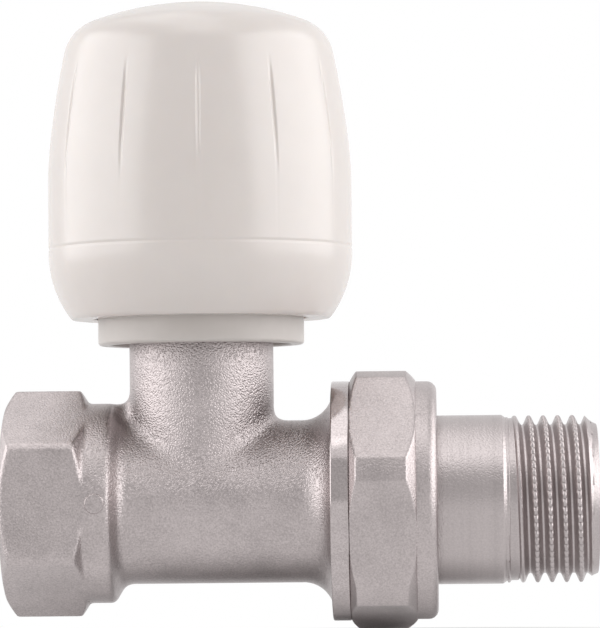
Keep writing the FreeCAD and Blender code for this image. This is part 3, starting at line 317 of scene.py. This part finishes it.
def forged(piece, voxel, passes):
    """Gives a joined form the soft edges of a forging."""
    piece.data.remesh_voxel_size = voxel * MM
    pick(piece)
    bpy.ops.object.voxel_remesh()
    apply_modifier(piece, "SMOOTH", factor=0.5, iterations=passes)


def soften(piece, rule, passes):
    """Rounds off the part of a piece where rule(point in millimetres) gives a weight above 0."""
    group = piece.vertex_groups.new(name="soft")
    for vertex in piece.data.vertices:
        weight = rule(vertex.co / MM)
        if weight > 0:
            group.add([vertex.index], min(1, weight), "REPLACE")
    apply_modifier(piece, "SMOOTH", factor=0.5, iterations=passes, vertex_group=group.name)
    piece.vertex_groups.clear()


def thread_outline(start, end, crest, root):
    """Points along a thread whose crests and roots are rounded, one pitch longer at each end."""
    middle, half = (crest + root) / 2, (crest - root) / 2
    per_pitch = 16
    points = []
    turns = math.ceil((end - start) / PITCH) + 2
    for step in range(turns * per_pitch + 1):
        phase = step / per_pitch
        wave = 4 * abs(phase % 1 - 0.5) - 1
        height = max(-1, min(1, wave * 1.42))
        eased = 1.5 * height - 0.5 * height ** 3
        points.append((start + (phase - 1.5) * PITCH, middle + half * (0.35 * height + 0.65 * eased)))
    return points


def thread(name, start, end, crest, root, core, limit):
    """A right-hand pipe thread on a core, cut square at its ends and shaped by limit(along, angle, out)."""
    piece = draw_line(name, [on_pipe(*point) for point in thread_outline(start, end, crest, root)])
    close()
    apply_modifier(piece, "SCREW", axis="X", angle=FULL_TURN, screw_offset=PITCH * MM, steps=320,
                   render_steps=320)
    tidy(piece, 0.002)
    for station, clear in ((start, "clear_inner"), (end, "clear_outer")):
        edit(piece)
        bpy.ops.mesh.bisect(plane_co=(station * MM, 0, 0), plane_no=(1, 0, 0), **{clear: True})
        close()
    press(piece, PIPE, limit)
    edit(piece)
    bpy.ops.mesh.select_all(action="DESELECT")
    bpy.ops.mesh.select_non_manifold(extend=False, use_wire=True, use_boundary=True,
                                     use_multi_face=False, use_non_contiguous=False, use_verts=False)
    bpy.ops.mesh.extrude_region_move()
    close()
    rim = {vertex.index for vertex in piece.data.vertices if vertex.select}
    for index in rim:
        point = piece.data.vertices[index].co
        spoke = Vector((0, point.y, point.z))
        point += spoke * (core * MM / spoke.length - 1)
    bpy.ops.object.mode_set(mode="EDIT")
    bpy.ops.mesh.bridge_edge_loops()
    close()
    tidy(piece)
    smooth(piece, 40)
    return piece


def finish_piece(piece, body, slot, node=None, finish=None):
    """Hangs a piece on its body, hides the CAD node it stands for and gives it its finish, which is the
    slot's finish unless another is named.
    """
    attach(piece, body)
    if node:
        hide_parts(node)
    piece.data.materials.clear()
    piece.data.materials.append(finishes[finish or slot])


# Finishes

def new_group(name, inputs, outputs):
    group = bpy.data.node_groups.new(name, "ShaderNodeTree")
    for label, kind, value in inputs:
        socket = group.interface.new_socket(label, in_out="INPUT", socket_type=kind)
        if value is not None:
            socket.default_value = value
    for label, kind in outputs:
        group.interface.new_socket(label, in_out="OUTPUT", socket_type=kind)
    entry = group.nodes.new("NodeGroupInput")
    leave = group.nodes.new("NodeGroupOutput")
    return group, entry, leave


def add(tree, kind, links=(), **settings):
    """A node with its settings, and each listed socket set to a value or linked from a socket."""
    node = tree.nodes.new(kind)
    for name, value in settings.items():
        setattr(node, name, value)
    for label, value in links:
        socket = node.inputs[label]
        if isinstance(value, bpy.types.NodeSocket):
            tree.links.new(value, socket)
        else:
            socket.default_value = value
    return node


def make_grain_group():
    """Blasted grain: a fine speckle, a coarser pitting and slow patches, from Object coordinates."""
    group, entry, leave = new_group(
        "blasted_grain",
        [("Grain size", "NodeSocketFloat", 0.25)],
        [("Speckle", "NodeSocketFloat"), ("Pits", "NodeSocketFloat"), ("Patches", "NodeSocketFloat")])
    place = add(group, "ShaderNodeTexCoord").outputs["Object"]
    fine = add(group, "ShaderNodeMath", [(0, 1000.0), (1, entry.outputs["Grain size"])],
               operation="DIVIDE").outputs[0]
    speckle = add(group, "ShaderNodeTexNoise",
                  [("Vector", place), ("Scale", fine), ("Detail", 3.0), ("Roughness", 0.6)])
    wider = add(group, "ShaderNodeMath", [(0, fine), (1, 0.8)], operation="MULTIPLY").outputs[0]
    pits = add(group, "ShaderNodeTexVoronoi", [("Vector", place), ("Scale", wider)])
    pit_mask = add(group, "ShaderNodeMapRange",
                   [("Value", pits.outputs["Distance"]), ("From Min", 0.05), ("From Max", 0.55)])
    patches = add(group, "ShaderNodeTexNoise",
                  [("Vector", place), ("Scale", 180.0), ("Detail", 3.0), ("Roughness", 0.55)])
    group.links.new(speckle.outputs[0], leave.inputs["Speckle"])
    group.links.new(pit_mask.outputs[0], leave.inputs["Pits"])
    group.links.new(patches.outputs[0], leave.inputs["Patches"])
    return group


def make_lathe_group():
    """Fine turning marks: noise that is drawn out round the pipe axis."""
    group, entry, leave = new_group(
        "turning_marks",
        [("Mark width", "NodeSocketFloat", 0.12)],
        [("Marks", "NodeSocketFloat"), ("Bands", "NodeSocketFloat")])
    place = add(group, "ShaderNodeTexCoord").outputs["Object"]
    split = add(group, "ShaderNodeSeparateXYZ", [(0, place)])
    around = add(group, "ShaderNodeMath", [(0, split.outputs["Y"]), (1, split.outputs["Z"])],
                 operation="ARCTAN2").outputs[0]
    slow = add(group, "ShaderNodeMath", [(0, around), (1, 0.00003)], operation="MULTIPLY").outputs[0]
    line = add(group, "ShaderNodeCombineXYZ", [("X", split.outputs["X"]), ("Y", slow)]).outputs[0]
    fine = add(group, "ShaderNodeMath", [(0, 1000.0), (1, entry.outputs["Mark width"])],
               operation="DIVIDE").outputs[0]
    marks = add(group, "ShaderNodeTexNoise",
                [("Vector", line), ("Scale", fine), ("Detail", 2.0), ("Roughness", 0.6)])
    bands = add(group, "ShaderNodeTexNoise",
                [("Vector", line), ("Scale", 900.0), ("Detail", 2.0), ("Roughness", 0.5)])
    group.links.new(marks.outputs[0], leave.inputs["Marks"])
    group.links.new(bands.outputs[0], leave.inputs["Bands"])
    return group


def new_finish(name):
    material = bpy.data.materials.new(name)
    material.use_nodes = True
    tree = material.node_tree
    shader = tree.nodes["Principled BSDF"]
    return material, tree, shader


def mix_colour(tree, mask, low, high):
    node = add(tree, "ShaderNodeMix", [(0, mask)], data_type="RGBA")
    node.inputs[6].default_value = (*low, 1)
    node.inputs[7].default_value = (*high, 1)
    return node.outputs[2]


def spread(tree, value, low, high, start=0.3, end=0.7):
    return add(tree, "ShaderNodeMapRange", [
        ("Value", value), ("From Min", start), ("From Max", end), ("To Min", low), ("To Max", high),
    ]).outputs[0]


def inside_of(tree, vector, edges):
    """1 inside all of the edges (side, outside, inside), fading to 0 across each of them."""
    split = add(tree, "ShaderNodeSeparateXYZ", [(0, vector)])
    window = None
    for side, outside, inside in edges:
        edge = add(tree, "ShaderNodeMapRange", [
            ("Value", split.outputs[side]), ("From Min", outside), ("From Max", inside)],
            interpolation_type="SMOOTHSTEP").outputs[0]
        if window:
            edge = add(tree, "ShaderNodeMath", [(0, window), (1, edge)], operation="MULTIPLY").outputs[0]
        window = edge
    return window


def grainy_metal(name, dark, light, grain, roughness, depth, machined=None, coarse=None):
    """Blasted, plated metal, smoother between two stations along the pipe and coarser inside some edges."""
    material, tree, shader = new_finish(name)
    group = add(tree, "ShaderNodeGroup", node_tree=grain_group)
    group.inputs["Grain size"].default_value = grain
    shader.inputs["Metallic"].default_value = 1
    both = add(tree, "ShaderNodeMath", [
        (0, group.outputs["Speckle"]), (1, 2.2), (2, group.outputs["Patches"])],
        operation="MULTIPLY_ADD").outputs[0]
    mask = spread(tree, both, 0, 1, 1.2, 2.0)
    tree.links.new(mix_colour(tree, mask, dark, light), shader.inputs["Base Color"])
    rough = spread(tree, group.outputs["Patches"], *roughness)
    height = add(tree, "ShaderNodeMath", [
        (0, group.outputs["Speckle"]), (1, 0.7), (2, group.outputs["Pits"])], operation="MULTIPLY_ADD")
    fine_step, coarse_step = grain * 0.0005, grain * 0.0014
    bump = add(tree, "ShaderNodeBump", [
        ("Strength", depth), ("Distance", fine_step), ("Height", height.outputs[0])])
    if coarse:
        place = add(tree, "ShaderNodeTexCoord").outputs["Object"]
        skin = inside_of(tree, place, coarse)
        tree.links.new(spread(tree, skin, fine_step, coarse_step, 0, 1), bump.inputs["Distance"])
    if machined:
        start, end = machined
        place = add(tree, "ShaderNodeTexCoord").outputs["Object"]
        station = add(tree, "ShaderNodeSeparateXYZ", [(0, place)]).outputs["X"]
        turned_share = add(tree, "ShaderNodeMath", [
            (0, station), (1, (start + end) / 2 * MM), (2, (end - start) / 2 * MM)],
            operation="COMPARE").outputs[0]
        rough = add(tree, "ShaderNodeMix", [(0, turned_share), (2, rough), (3, 0.12)]).outputs[0]
        strength = spread(tree, turned_share, depth, depth * 0.12, 0, 1)
        tree.links.new(strength, bump.inputs["Strength"])
    tree.links.new(rough, shader.inputs["Roughness"])
    tree.links.new(bump.outputs[0], shader.inputs["Normal"])
    return material


def turned_metal(name, dark, light, width, roughness, depth, grain_depth=0.1):
    """Metal as it leaves the lathe, with a trace of grain in its plating."""
    material, tree, shader = new_finish(name)
    group = add(tree, "ShaderNodeGroup", node_tree=lathe_group)
    group.inputs["Mark width"].default_value = width
    grain = add(tree, "ShaderNodeGroup", node_tree=grain_group)
    grain.inputs["Grain size"].default_value = 0.22
    shader.inputs["Metallic"].default_value = 1
    both = add(tree, "ShaderNodeMath", [
        (0, group.outputs["Bands"]), (1, 0.6), (2, grain.outputs["Speckle"])],
        operation="MULTIPLY_ADD").outputs[0]
    mask = spread(tree, both, 0, 1, 0.6, 1.0)
    tree.links.new(mix_colour(tree, mask, dark, light), shader.inputs["Base Color"])
    tree.links.new(spread(tree, group.outputs["Marks"], *roughness), shader.inputs["Roughness"])
    grains = add(tree, "ShaderNodeBump", [
        ("Strength", grain_depth), ("Distance", 0.0001), ("Height", grain.outputs["Pits"])])
    bump = add(tree, "ShaderNodeBump", [
        ("Strength", depth), ("Distance", 0.00003), ("Height", group.outputs["Marks"]),
        ("Normal", grains.outputs[0])])
    tree.links.new(bump.outputs[0], shader.inputs["Normal"])
    return material


def moulded(name, dark, light, roughness, depth, translucent=0.0, shine=0.5):
    """Moulded plastic or rubber with a barely uneven skin."""
    material, tree, shader = new_finish(name)
    group = add(tree, "ShaderNodeGroup", node_tree=grain_group)
    group.inputs["Grain size"].default_value = 0.35
    mask = spread(tree, group.outputs["Patches"], 0, 1)
    tree.links.new(mix_colour(tree, mask, dark, light), shader.inputs["Base Color"])
    tree.links.new(spread(tree, group.outputs["Speckle"], *roughness), shader.inputs["Roughness"])
    bump = add(tree, "ShaderNodeBump", [
        ("Strength", depth), ("Distance", 0.00002), ("Height", group.outputs["Speckle"])])
    tree.links.new(bump.outputs[0], shader.inputs["Normal"])
    shader.inputs["Specular IOR Level"].default_value = shine
    if translucent:
        shader.inputs["Subsurface Weight"].default_value = translucent
        shader.inputs["Subsurface Radius"].default_value = (1.0, 0.8, 0.6)
        shader.inputs["Subsurface Scale"].default_value = 0.0012
    return material


grain_group = make_grain_group()
lathe_group = make_lathe_group()
finishes = {
    "nickel_forging": grainy_metal("nickel_forging", (0.37, 0.331, 0.329), (0.54, 0.484, 0.482), 0.22,
                                   (0.34, 0.4), 0.32, None,
                                   (("X", 0.009, 0.015), ("Z", -0.0005, 0.0045))),
    "nickel_nut": grainy_metal("nickel_nut", (0.38, 0.34, 0.338), (0.53, 0.475, 0.473), 0.22,
                               (0.34, 0.4), 0.2, (nut_low.x - 0.1, nut_low.x + NUT_COLLAR)),
    "nickel_turned": turned_metal("nickel_turned", (0.42, 0.378, 0.376), (0.50, 0.45, 0.448), 0.1,
                                  (0.27, 0.35), 0.12, 0.22),
    "yellow_brass": turned_metal("yellow_brass", (0.62, 0.43, 0.17), (0.75, 0.55, 0.24), 0.12,
                                 (0.2, 0.34), 0.4),
    "zinc_steel": grainy_metal("zinc_steel", (0.45, 0.46, 0.48), (0.62, 0.63, 0.65), 0.2,
                               (0.25, 0.4), 0.2),
    "white_plastic": moulded("white_plastic", (0.81, 0.744, 0.708), (0.83, 0.763, 0.726),
                             (0.25, 0.27), 0.02, 0.15, 0.9),
    # collar_plastic is the handwheel's white plastic with painted shade: its colour is made greyer for the
    # shade under the wheel, and its higher roughness is its own
    "collar_plastic": moulded("collar_plastic", (0.67, 0.622, 0.59), (0.71, 0.662, 0.63),
                              (0.3, 0.4), 0.2),
    "black_rubber": moulded("black_rubber", (0.018, 0.018, 0.019), (0.03, 0.03, 0.031),
                            (0.45, 0.6), 0.3),
    "backing_plastic": moulded("backing_plastic", (0.70, 0.68, 0.62), (0.76, 0.74, 0.68),
                               (0.3, 0.42), 0.2),
}
# Pieces that show their CAD mesh get the same finishes
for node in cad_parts.values():
    for place in node.material_slots:
        if place.material and place.material.name in finishes:
            place.material = finishes[place.material.name]


# Handwheel: a domed shell with twelve grip grooves

def wheel_outline():
    """Half section from the cap's recess over the dome, down the side and back up inside."""
    dome, recess = WHEEL_DOME, 6.0
    first = math.degrees(math.asin(recess / dome))
    points = [(WHEEL_TOP - dome * (1 - math.cos(math.radians(first))) - 0.12, recess),
              (WHEEL_TOP - dome * (1 - math.cos(math.radians(first + 0.2))), recess + 0.13)]
    arc_run(points, dome, first + 0.2, 20.5, 18)
    arc_run(points, 5.16, 20.5, 78, 22)
    arc_run(points, 120, 78, 83.5, 22)
    lean = WHEEL_RADIUS - points[-1][1]
    arc_run(points, lean / (1 - math.sin(math.radians(83.5))), 83.5, 90, 10)
    points += rounded([(points[-1][0], WHEEL_RADIUS), (32.3, WHEEL_RADIUS, 0.15),
                       (32.0, WHEEL_RADIUS - 0.08, 0.12), (31.7, WHEEL_RADIUS, 0.15),
                       (31.5, WHEEL_RADIUS)], 3)[1:]
    inset = WHEEL_RADIUS - 16.3
    drop = points[-1][0] - WHEEL_FOOT
    foot_arc = (drop ** 2 / inset + inset) / 2
    lowest = 90 + math.degrees(math.asin(drop / foot_arc))
    arc_run(points, foot_arc, 90, lowest - 1, 18)
    points += rounded([points[-1], (WHEEL_FOOT, 16.2, 0.25), (WHEEL_FOOT, 13.5, 0.2),
                       (WHEEL_FOOT + 1.5, 13.5, 0.1), (WHEEL_FOOT + 2.45, 15.35)], 4)[1:]
    points += [(32.7, WHEEL_RADIUS - 1.9), (36.1, WHEEL_RADIUS - 1.9), (45.3, 16.95), (56.7, 14.85),
               (59.6, 10.4), (60.4, 7.6), (57.6, 7.6), (57.6, 5.4), (38.1, 5.4), (38.1, 3.4),
               (57.3, 3.4), (57.3, 1.75), (59.4, 1.75), (59.4, recess)]
    return points


def groove_rule(along, angle, out):
    """Presses in straight, narrow grooves that fade out at both ends."""
    top, bottom, half_width, deepest = 55.0, 39.4, 0.38, 0.2
    if not bottom < along < top or out < WHEEL_RADIUS - 2.6:
        return out
    spacing = FULL_TURN / GROOVE_COUNT
    turn = (angle - math.radians(GROOVE_TURN) + spacing / 2) % spacing - spacing / 2
    side = abs(turn) * out / half_width
    if side >= 1:
        return out
    reach = (along - bottom) / (top - bottom)
    fade = min(1, 4 * (1 - reach), 2.2 * reach)
    return out - deepest * fade * (1 + math.cos(math.pi * side)) / 2


groove_sweeps = ((12, math.radians(1.2)), (22, math.radians(27.6)), (12, math.radians(1.2)))
handwheel = turned("handwheel_skin", wheel_outline(), WHEEL, groove_sweeps, GROOVE_COUNT)
press(handwheel, STEM, groove_rule)
smooth(handwheel, 30)
finish_piece(handwheel, "handwheel", "white_plastic", "handwheel")


# Cap over the handwheel's screw and the collar under the handwheel

def cap_outline():
    """Half section of the cap, whose top goes on with the wheel's dome."""
    dome, radius = WHEEL_DOME, (cap_high.y - cap_low.y) / 2
    edge = math.degrees(math.asin(radius / dome))
    points = [(WHEEL_TOP, ON_AXIS)]
    arc_run(points, dome, 0.001, edge - 0.25, 14)
    points += rounded([points[-1], (points[-1][0] - 0.05, radius, 0.1), (cap_low.z, radius, 0.1),
                       (cap_low.z, radius - 1.3), (WHEEL_TOP - 1.2, radius - 1.3)], 4)[1:]
    points.append((WHEEL_TOP - 1.2, ON_AXIS))
    return points


cap = turned("handwheel_cap_skin", cap_outline(), STEM, ((160, FULL_TURN),))
smooth(cap, 30)
finish_piece(cap, "handwheel", "white_plastic", "handwheel_cap")

collar_radius = (collar_high.y - collar_low.y) / 2
collar_inside = collar_radius - 1.6
collar = turned("collar_ring_skin", rounded([
    (NECK_TOP, 7.52), (NECK_TOP, collar_inside, 0.15), (collar_low.z, collar_inside, 0.2),
    (collar_low.z, collar_radius, 0.45), (collar_high.z, collar_radius, 0.2),
    (collar_high.z, collar_inside, 0.2), (22.7, collar_inside, 0.15), (22.7, 7.52),
]), STEM, FINE_SWEEP)
smooth(collar, 30)
# The collar's colour is white plastic with painted shade, greyer as if under the handwheel
finish_piece(collar, "valve", "collar_plastic", "collar_ring")


# Valve body: forged in one with soft edges, then machined

def make_body():
    """Blanks joined into one forging, softened and then machined."""
    mouth, union_end = body_low.x, body_high.x
    union_blank = UNION_CREST - 0.1
    piece = turned("valve_body_skin", [
        (7.0, ON_AXIS), (7.0, BARREL_RADIUS),
        *bow((36.8, BARREL_RADIUS), (40.2, union_blank), 3.9, 1),
        (union_end, union_blank), (union_end, ON_AXIS)], PIPE)
    band = turned("band_blank", [
        (8.0, ON_AXIS), (8.0, BAND_RADIUS), *bow((12.3, BAND_RADIUS), (12.9, 12.2), 0.8, -1),
        *bow((13.5, 11.2), (15.2, BARREL_RADIUS), 1.8, 1), (15.2, ON_AXIS)], PIPE)
    neck = turned("neck_blank", [
        (0, ON_AXIS), (0, NECK_RADIUS), (NECK_TOP, NECK_RADIUS), (NECK_TOP, ON_AXIS)], STEM)
    web = bar("web_blank", 11.5, 16.0, BAND_RADIUS - 3.1, 3.05)
    inner = mouth + INLET_LENGTH
    flats = hexagon("hexagon_blank", INLET_FLATS, mouth, inner, 90)
    envelope = turned("hexagon_envelope", [
        (mouth, ON_AXIS), (mouth, 12.3), (mouth + 1.1, 14.2), (inner - 1, 14.2), (inner, 12.6),
        (inner, ON_AXIS)], PIPE)
    combine(flats, envelope, "INTERSECT")
    for blank in (band, neck, web, flats):
        combine(piece, blank, "UNION")
    forged(piece, 0.3, 5)
    soften(piece, saddle_weight, 100)
    combine(piece, turned("forging_button", rounded([
        (11.0, ON_AXIS), (11.0, 1.3), (12.45, 1.3), (12.68, 1.12, 0.1), (12.68, ON_AXIS)]), BUTTON,
        ((64, FULL_TURN),)), "UNION")
    machine_body(piece, mouth, union_end)
    return piece


def saddle_weight(point):
    """1 on the line where the neck stands on the barrel or the web, falling to 0 away from it."""
    if point.z < 0:
        return 0
    from_neck = abs(math.hypot(point.x - STEM_X, point.y) - NECK_RADIUS)
    from_barrel = abs(math.hypot(point.y, point.z) - BARREL_RADIUS)
    if point.x < STEM_X and abs(point.y) < 3.5:
        from_barrel = max(0, point.z - BAND_RADIUS)
    return 1.6 - max(from_neck, from_barrel) / 1.5


def machine_body(piece, mouth, union_end):
    """Cuts the socket, the waterway with its seat, the neck and the union end."""
    socket_root = SOCKET_CREST + THREAD_DEPTH
    cuts = [
        turned("socket_cut", [
            (mouth - 1, ON_AXIS), (mouth - 1, 12.0), (mouth, 10.9), (mouth + 0.5, socket_root),
            (SOCKET_END, socket_root), (SOCKET_END, ON_AXIS)], PIPE),
        turned("neck_cut", [
            (-3.0, ON_AXIS), (-3.0, 4.2), (4.6, 4.2), (4.6, 5.4), (3.6, 5.4), (3.6, 7.0), (13.1, 7.0),
            (13.1, 7.5), (20.4, 7.5), (NECK_TOP, 8.6), (22.0, 9.6), (22.0, ON_AXIS)], STEM),
        turned("union_cut", [
            (38.8, ON_AXIS), (38.8, 6.5), (41.3, 6.5), (42.8, 10.7), (48.3, 10.7), (union_end, 11.2),
            (union_end + 1, 12.2), (union_end + 1, ON_AXIS)], PIPE),
        bar("inlet_passage", 10.2, 26.8, -3.0, 5.2),
        bar("outlet_passage", 29.3, 39.8, 3.2, 5.0),
    ]
    for cut in cuts:
        combine(piece, cut, "DIFFERENCE")
    union_root = UNION_CREST - THREAD_DEPTH
    blank = turned("union_blank", [
        (UNION_THREAD_START, union_root), (UNION_THREAD_START, 14.5), (union_end + 1, 14.5),
        (union_end + 1, union_root)], PIPE)
    combine(piece, blank, "DIFFERENCE")


def bar(name, start, end, level, radius):
    """A round bar along the pipe, above or below its axis."""
    deselect()
    bpy.ops.mesh.primitive_cylinder_add(vertices=96, radius=radius * MM, depth=(end - start) * MM)
    piece = bpy.context.object
    piece.name = name
    edit(piece)
    bpy.ops.transform.rotate(value=math.pi / 2, orient_axis="Y", center_override=(0, 0, 0))
    bpy.ops.transform.translate(value=((start + end) / 2 * MM, 0, level * MM))
    close()
    return piece


def socket_limit(along, angle, out):
    """The socket's thread ends in a lead-in at the mouth."""
    return max(out, SOCKET_CREST + max(0, 0.4 - along) * 1.5)


def union_limit(along, angle, out):
    """The union thread ends in a chamfer at the end of the body."""
    return min(out, UNION_CREST - max(0, along - (body_high.x - 0.7)))


valve_body = make_body()
smooth(valve_body, 35)
finish_piece(valve_body, "valve", "nickel_forging", "valve_body")
socket_thread = thread("socket_thread", body_low.x + 0.5, SOCKET_END, SOCKET_CREST,
                       SOCKET_CREST + THREAD_DEPTH, SOCKET_CREST + THREAD_DEPTH + 0.05, socket_limit)
finish_piece(socket_thread, "valve", "nickel_turned")
union_thread = thread("union_thread", UNION_THREAD_START, body_high.x, UNION_CREST,
                      UNION_CREST - THREAD_DEPTH, UNION_CREST - THREAD_DEPTH - 0.05, union_limit)
finish_piece(union_thread, "valve", "nickel_turned")


# Union nut

def make_nut():
    """A soft-edged hexagon with a turned collar on each side and a stepped bore."""
    start, end = nut_low.x, nut_high.x
    left, right = start + NUT_COLLAR, start + NUT_COLLAR + NUT_HEXAGON
    piece = hexagon("union_nut_skin", NUT_FLATS, left, right, NUT_CORNER)
    envelope = turned("nut_envelope", [
        (left, ON_AXIS), (left, 15.0), (left + 0.85, 16.5), (right - 1.2, 16.5), (right, 15.0),
        (right, ON_AXIS)], PIPE)
    combine(piece, envelope, "INTERSECT")
    forged(piece, 0.2, 4)
    collars = turned("nut_collars", rounded([
        (start, ON_AXIS), (start, 15.05, 0.22), (left, 15.05, 0.14), (left, 14.8), (left + 2, 14.8),
        (left + 2, 14.93), (end, 14.93, 1.2), (end, ON_AXIS)]), PIPE, FINE_SWEEP)
    combine(piece, collars, "UNION")
    bore = turned("nut_bore", [
        (start - 1, ON_AXIS), (start - 1, 14.9), (start + 0.6, 13.3), (50.45, 13.3), (50.45, 10.75),
        (end - 0.3, 10.75), (end + 0.5, 11.55), (end + 0.5, ON_AXIS)], PIPE, FINE_SWEEP)
    combine(piece, bore, "DIFFERENCE")
    return piece


union_nut = make_nut()
smooth(union_nut, 35)
finish_piece(union_nut, "union_nut", "nickel_forging", "union_nut", "nickel_nut")


# Tailpiece with its pipe thread

def tail_limit(along, angle, out):
    """A filled first root at the tube, notched crests, and a chamfer and a cone at the pilot."""
    chamfered = TAIL_CREST - max(0, along - 71.85)
    run_out = TAIL_CREST - 0.3 - max(0, along - 63.4) * 1.6
    crest_share = max(0, min(1, (out - TAIL_CREST + 0.35) / 0.3))
    middle = max(0, min(1, 2 * (along - 64.3), 2 * (71.5 - along)))
    notch = max(0, math.cos(angle * 64) - 0.1) * 0.28 * crest_share * middle
    pilot = PILOT_RADIUS + 0.02 - (TAIL_THREAD_END - along) * 0.8
    return max(min(max(out, run_out) - notch, chamfered), pilot)


def key_lug(side):
    """One of the two lugs in the bore that a fitting key turns the tailpiece by."""
    deselect()
    bpy.ops.mesh.primitive_cube_add(size=MM)
    piece = bpy.context.object
    piece.name = "key_lug"
    edit(piece)
    bpy.ops.transform.resize(value=(6.0, 3.0, 2.4), center_override=(0, 0, 0))
    bpy.ops.transform.translate(value=(56.8 * MM, 0, side * TAIL_BORE * MM))
    bpy.ops.mesh.bevel(offset=0.25 * MM, segments=3)
    close()
    return piece


tailpiece = turned("tailpiece_skin", rounded([
    (tail_low.x, TAIL_BORE, 0.1), (tail_low.x, TUBE_RADIUS - 0.5, 0.1), (tail_low.x + 0.5, TUBE_RADIUS, 0.1),
    (46.1, TUBE_RADIUS), (46.1, 9.1), (47.9, 9.1), (47.9, TUBE_RADIUS), (48.9, TUBE_RADIUS),
    (48.9, FLANGE_RADIUS, 0.15), (50.4, FLANGE_RADIUS, 0.15), (50.4, TUBE_RADIUS),
    (61.5, TUBE_RADIUS, 0.2), (61.9, 10.3, 0.2), (62.3, 10.3, 0.1), (62.3, 9.25),
    (TAIL_THREAD_END, 9.25), (TAIL_THREAD_END, PILOT_RADIUS), (tail_high.x, PILOT_RADIUS - 0.35, 0.2),
    (tail_high.x, TAIL_BORE, 0.3),
]), PIPE, FINE_SWEEP)
for side in (-1, 1):
    combine(tailpiece, key_lug(side), "UNION")
smooth(tailpiece, 30)
finish_piece(tailpiece, "tailpiece", "nickel_turned", "tailpiece")
tail_thread = thread("tail_thread", TAIL_THREAD_START, TAIL_THREAD_END, TAIL_CREST,
                     TAIL_CREST - THREAD_DEPTH, 9.2, tail_limit)
finish_piece(tail_thread, "tailpiece", "nickel_turned")


# Studio

def soft_box(name, place, aim, width, height, power):
    """A white lamp of a width and a height in metres, turned to what it aims at."""
    lamp = bpy.data.lights.new(name, "AREA")
    lamp.shape = "RECTANGLE"
    lamp.size = width
    lamp.size_y = height
    lamp.energy = power
    box = bpy.data.objects.new(name, lamp)
    bpy.context.scene.collection.objects.link(box)
    box.location = place
    box.rotation_mode = "QUATERNION"
    box.rotation_quaternion = (Vector(aim) - Vector(place)).to_track_quat("-Z", "Y")


def light_studio():
    """Lamps on both sides, in front and above, in a white room."""
    middle = (0.03, 0, 0.02)
    soft_box("left_box", (-0.77, -0.12, 0.25), middle, 1.34, 0.9, 6.4)
    soft_box("right_box", (0.82, -0.11, 0.28), middle, 1.34, 0.9, 6.8)
    soft_box("front_box", (0.04, -0.55, 0.72), middle, 0.8, 0.36, 0.5)
    soft_box("top_box", (-0.08, -0.04, 0.9), middle, 1.2, 0.46, 1.45)
    world = bpy.data.worlds.new("studio")
    bpy.context.scene.world = world
    world.use_nodes = True
    tree = world.node_tree
    # White all round, with a greyer window on the side that the camera stands on
    direction = add(tree, "ShaderNodeTexCoord").outputs["Generated"]
    window = inside_of(tree, direction, (
        ("Y", 0.0, -0.3), ("X", -0.85, -0.6), ("X", 0.88, 0.64), ("Z", 0.96, 0.72)))
    backdrop = spread(tree, window, 1.0, 0.71, 0, 1)
    strength = add(tree, "ShaderNodeMapRange", [
        ("Value", seen_directly(tree)), ("To Min", 0.3), ("To Max", 1.0)]).outputs[0]
    ground = tree.nodes["Background"]
    tree.links.new(backdrop, ground.inputs["Color"])
    tree.links.new(strength, ground.inputs["Strength"])


def seen_directly(tree):
    """1 for what the camera sees, in the open, in a mirror or through glass, and 0 for soft light."""
    path = add(tree, "ShaderNodeLightPath")
    mirrored = add(tree, "ShaderNodeMath", [
        (0, path.outputs["Is Glossy Ray"]), (1, path.outputs["Is Transmission Ray"])],
        operation="MAXIMUM").outputs[0]
    return add(tree, "ShaderNodeMath", [(0, path.outputs["Is Camera Ray"]), (1, mirrored)],
               operation="MAXIMUM").outputs[0]


def lay_floor():
    """White paper that fades into the backdrop away from an oval shadow under the object."""
    deselect()
    bpy.ops.mesh.primitive_plane_add(size=12)
    floor = bpy.context.object
    floor.name = "floor"
    edit(floor)
    bpy.ops.transform.translate(value=(0, 0, cad_low.z - 0.0002))
    close()
    material, tree, shader = new_finish("floor_paper")
    shader.inputs["Roughness"].default_value = 0.9
    shader.inputs["Base Color"].default_value = (0.75, 0.75, 0.75, 1)
    place = add(tree, "ShaderNodeTexCoord").outputs["Object"]
    middle = (cad_low + cad_high) / 2
    offset = add(tree, "ShaderNodeVectorMath", [(0, place), (1, (middle.x, 0.0015, cad_low.z))],
                 operation="SUBTRACT").outputs[0]
    oval = add(tree, "ShaderNodeVectorMath", [(0, offset), (1, (0.25, 1.0, 1.0))],
               operation="MULTIPLY").outputs[0]
    distance = add(tree, "ShaderNodeVectorMath", [(0, oval)], operation="LENGTH").outputs["Value"]
    fade = add(tree, "ShaderNodeMapRange", [
        ("Value", distance), ("From Min", 0.003), ("From Max", 0.012), ("To Min", 0.05), ("To Max", 1.0)])
    share = add(tree, "ShaderNodeMath", [(0, fade.outputs[0]), (1, seen_directly(tree))],
                operation="MULTIPLY").outputs[0]
    glow = add(tree, "ShaderNodeEmission", [("Strength", 1.0)])
    blend = add(tree, "ShaderNodeMixShader", [
        (0, share), (1, shader.outputs[0]), (2, glow.outputs[0])])
    tree.links.new(blend.outputs[0], tree.nodes["Material Output"].inputs["Surface"])
    floor.data.materials.append(material)


def place_camera():
    """A long lens at about the pipe's height, a little to the right, as the photograph was taken."""
    lens = bpy.data.cameras.new("camera")
    lens.sensor_width = 36
    lens.lens = 220.6
    camera = bpy.data.objects.new("camera", lens)
    bpy.context.scene.collection.objects.link(camera)
    camera.location = Vector((52, -485, 2.5)) * MM
    aim = Vector((36.3, 0, 23.6)) * MM - camera.location
    camera.rotation_mode = "QUATERNION"
    roll = Quaternion((0, 0, 1), math.radians(-0.6))
    camera.rotation_quaternion = aim.to_track_quat("-Z", "Y") @ roll
    lens.clip_start = 0.01
    lens.clip_end = 50
    bpy.context.scene.camera = camera


light_studio()
lay_floor()
place_camera()
bpy.context.scene.view_settings.view_transform = "Standard"
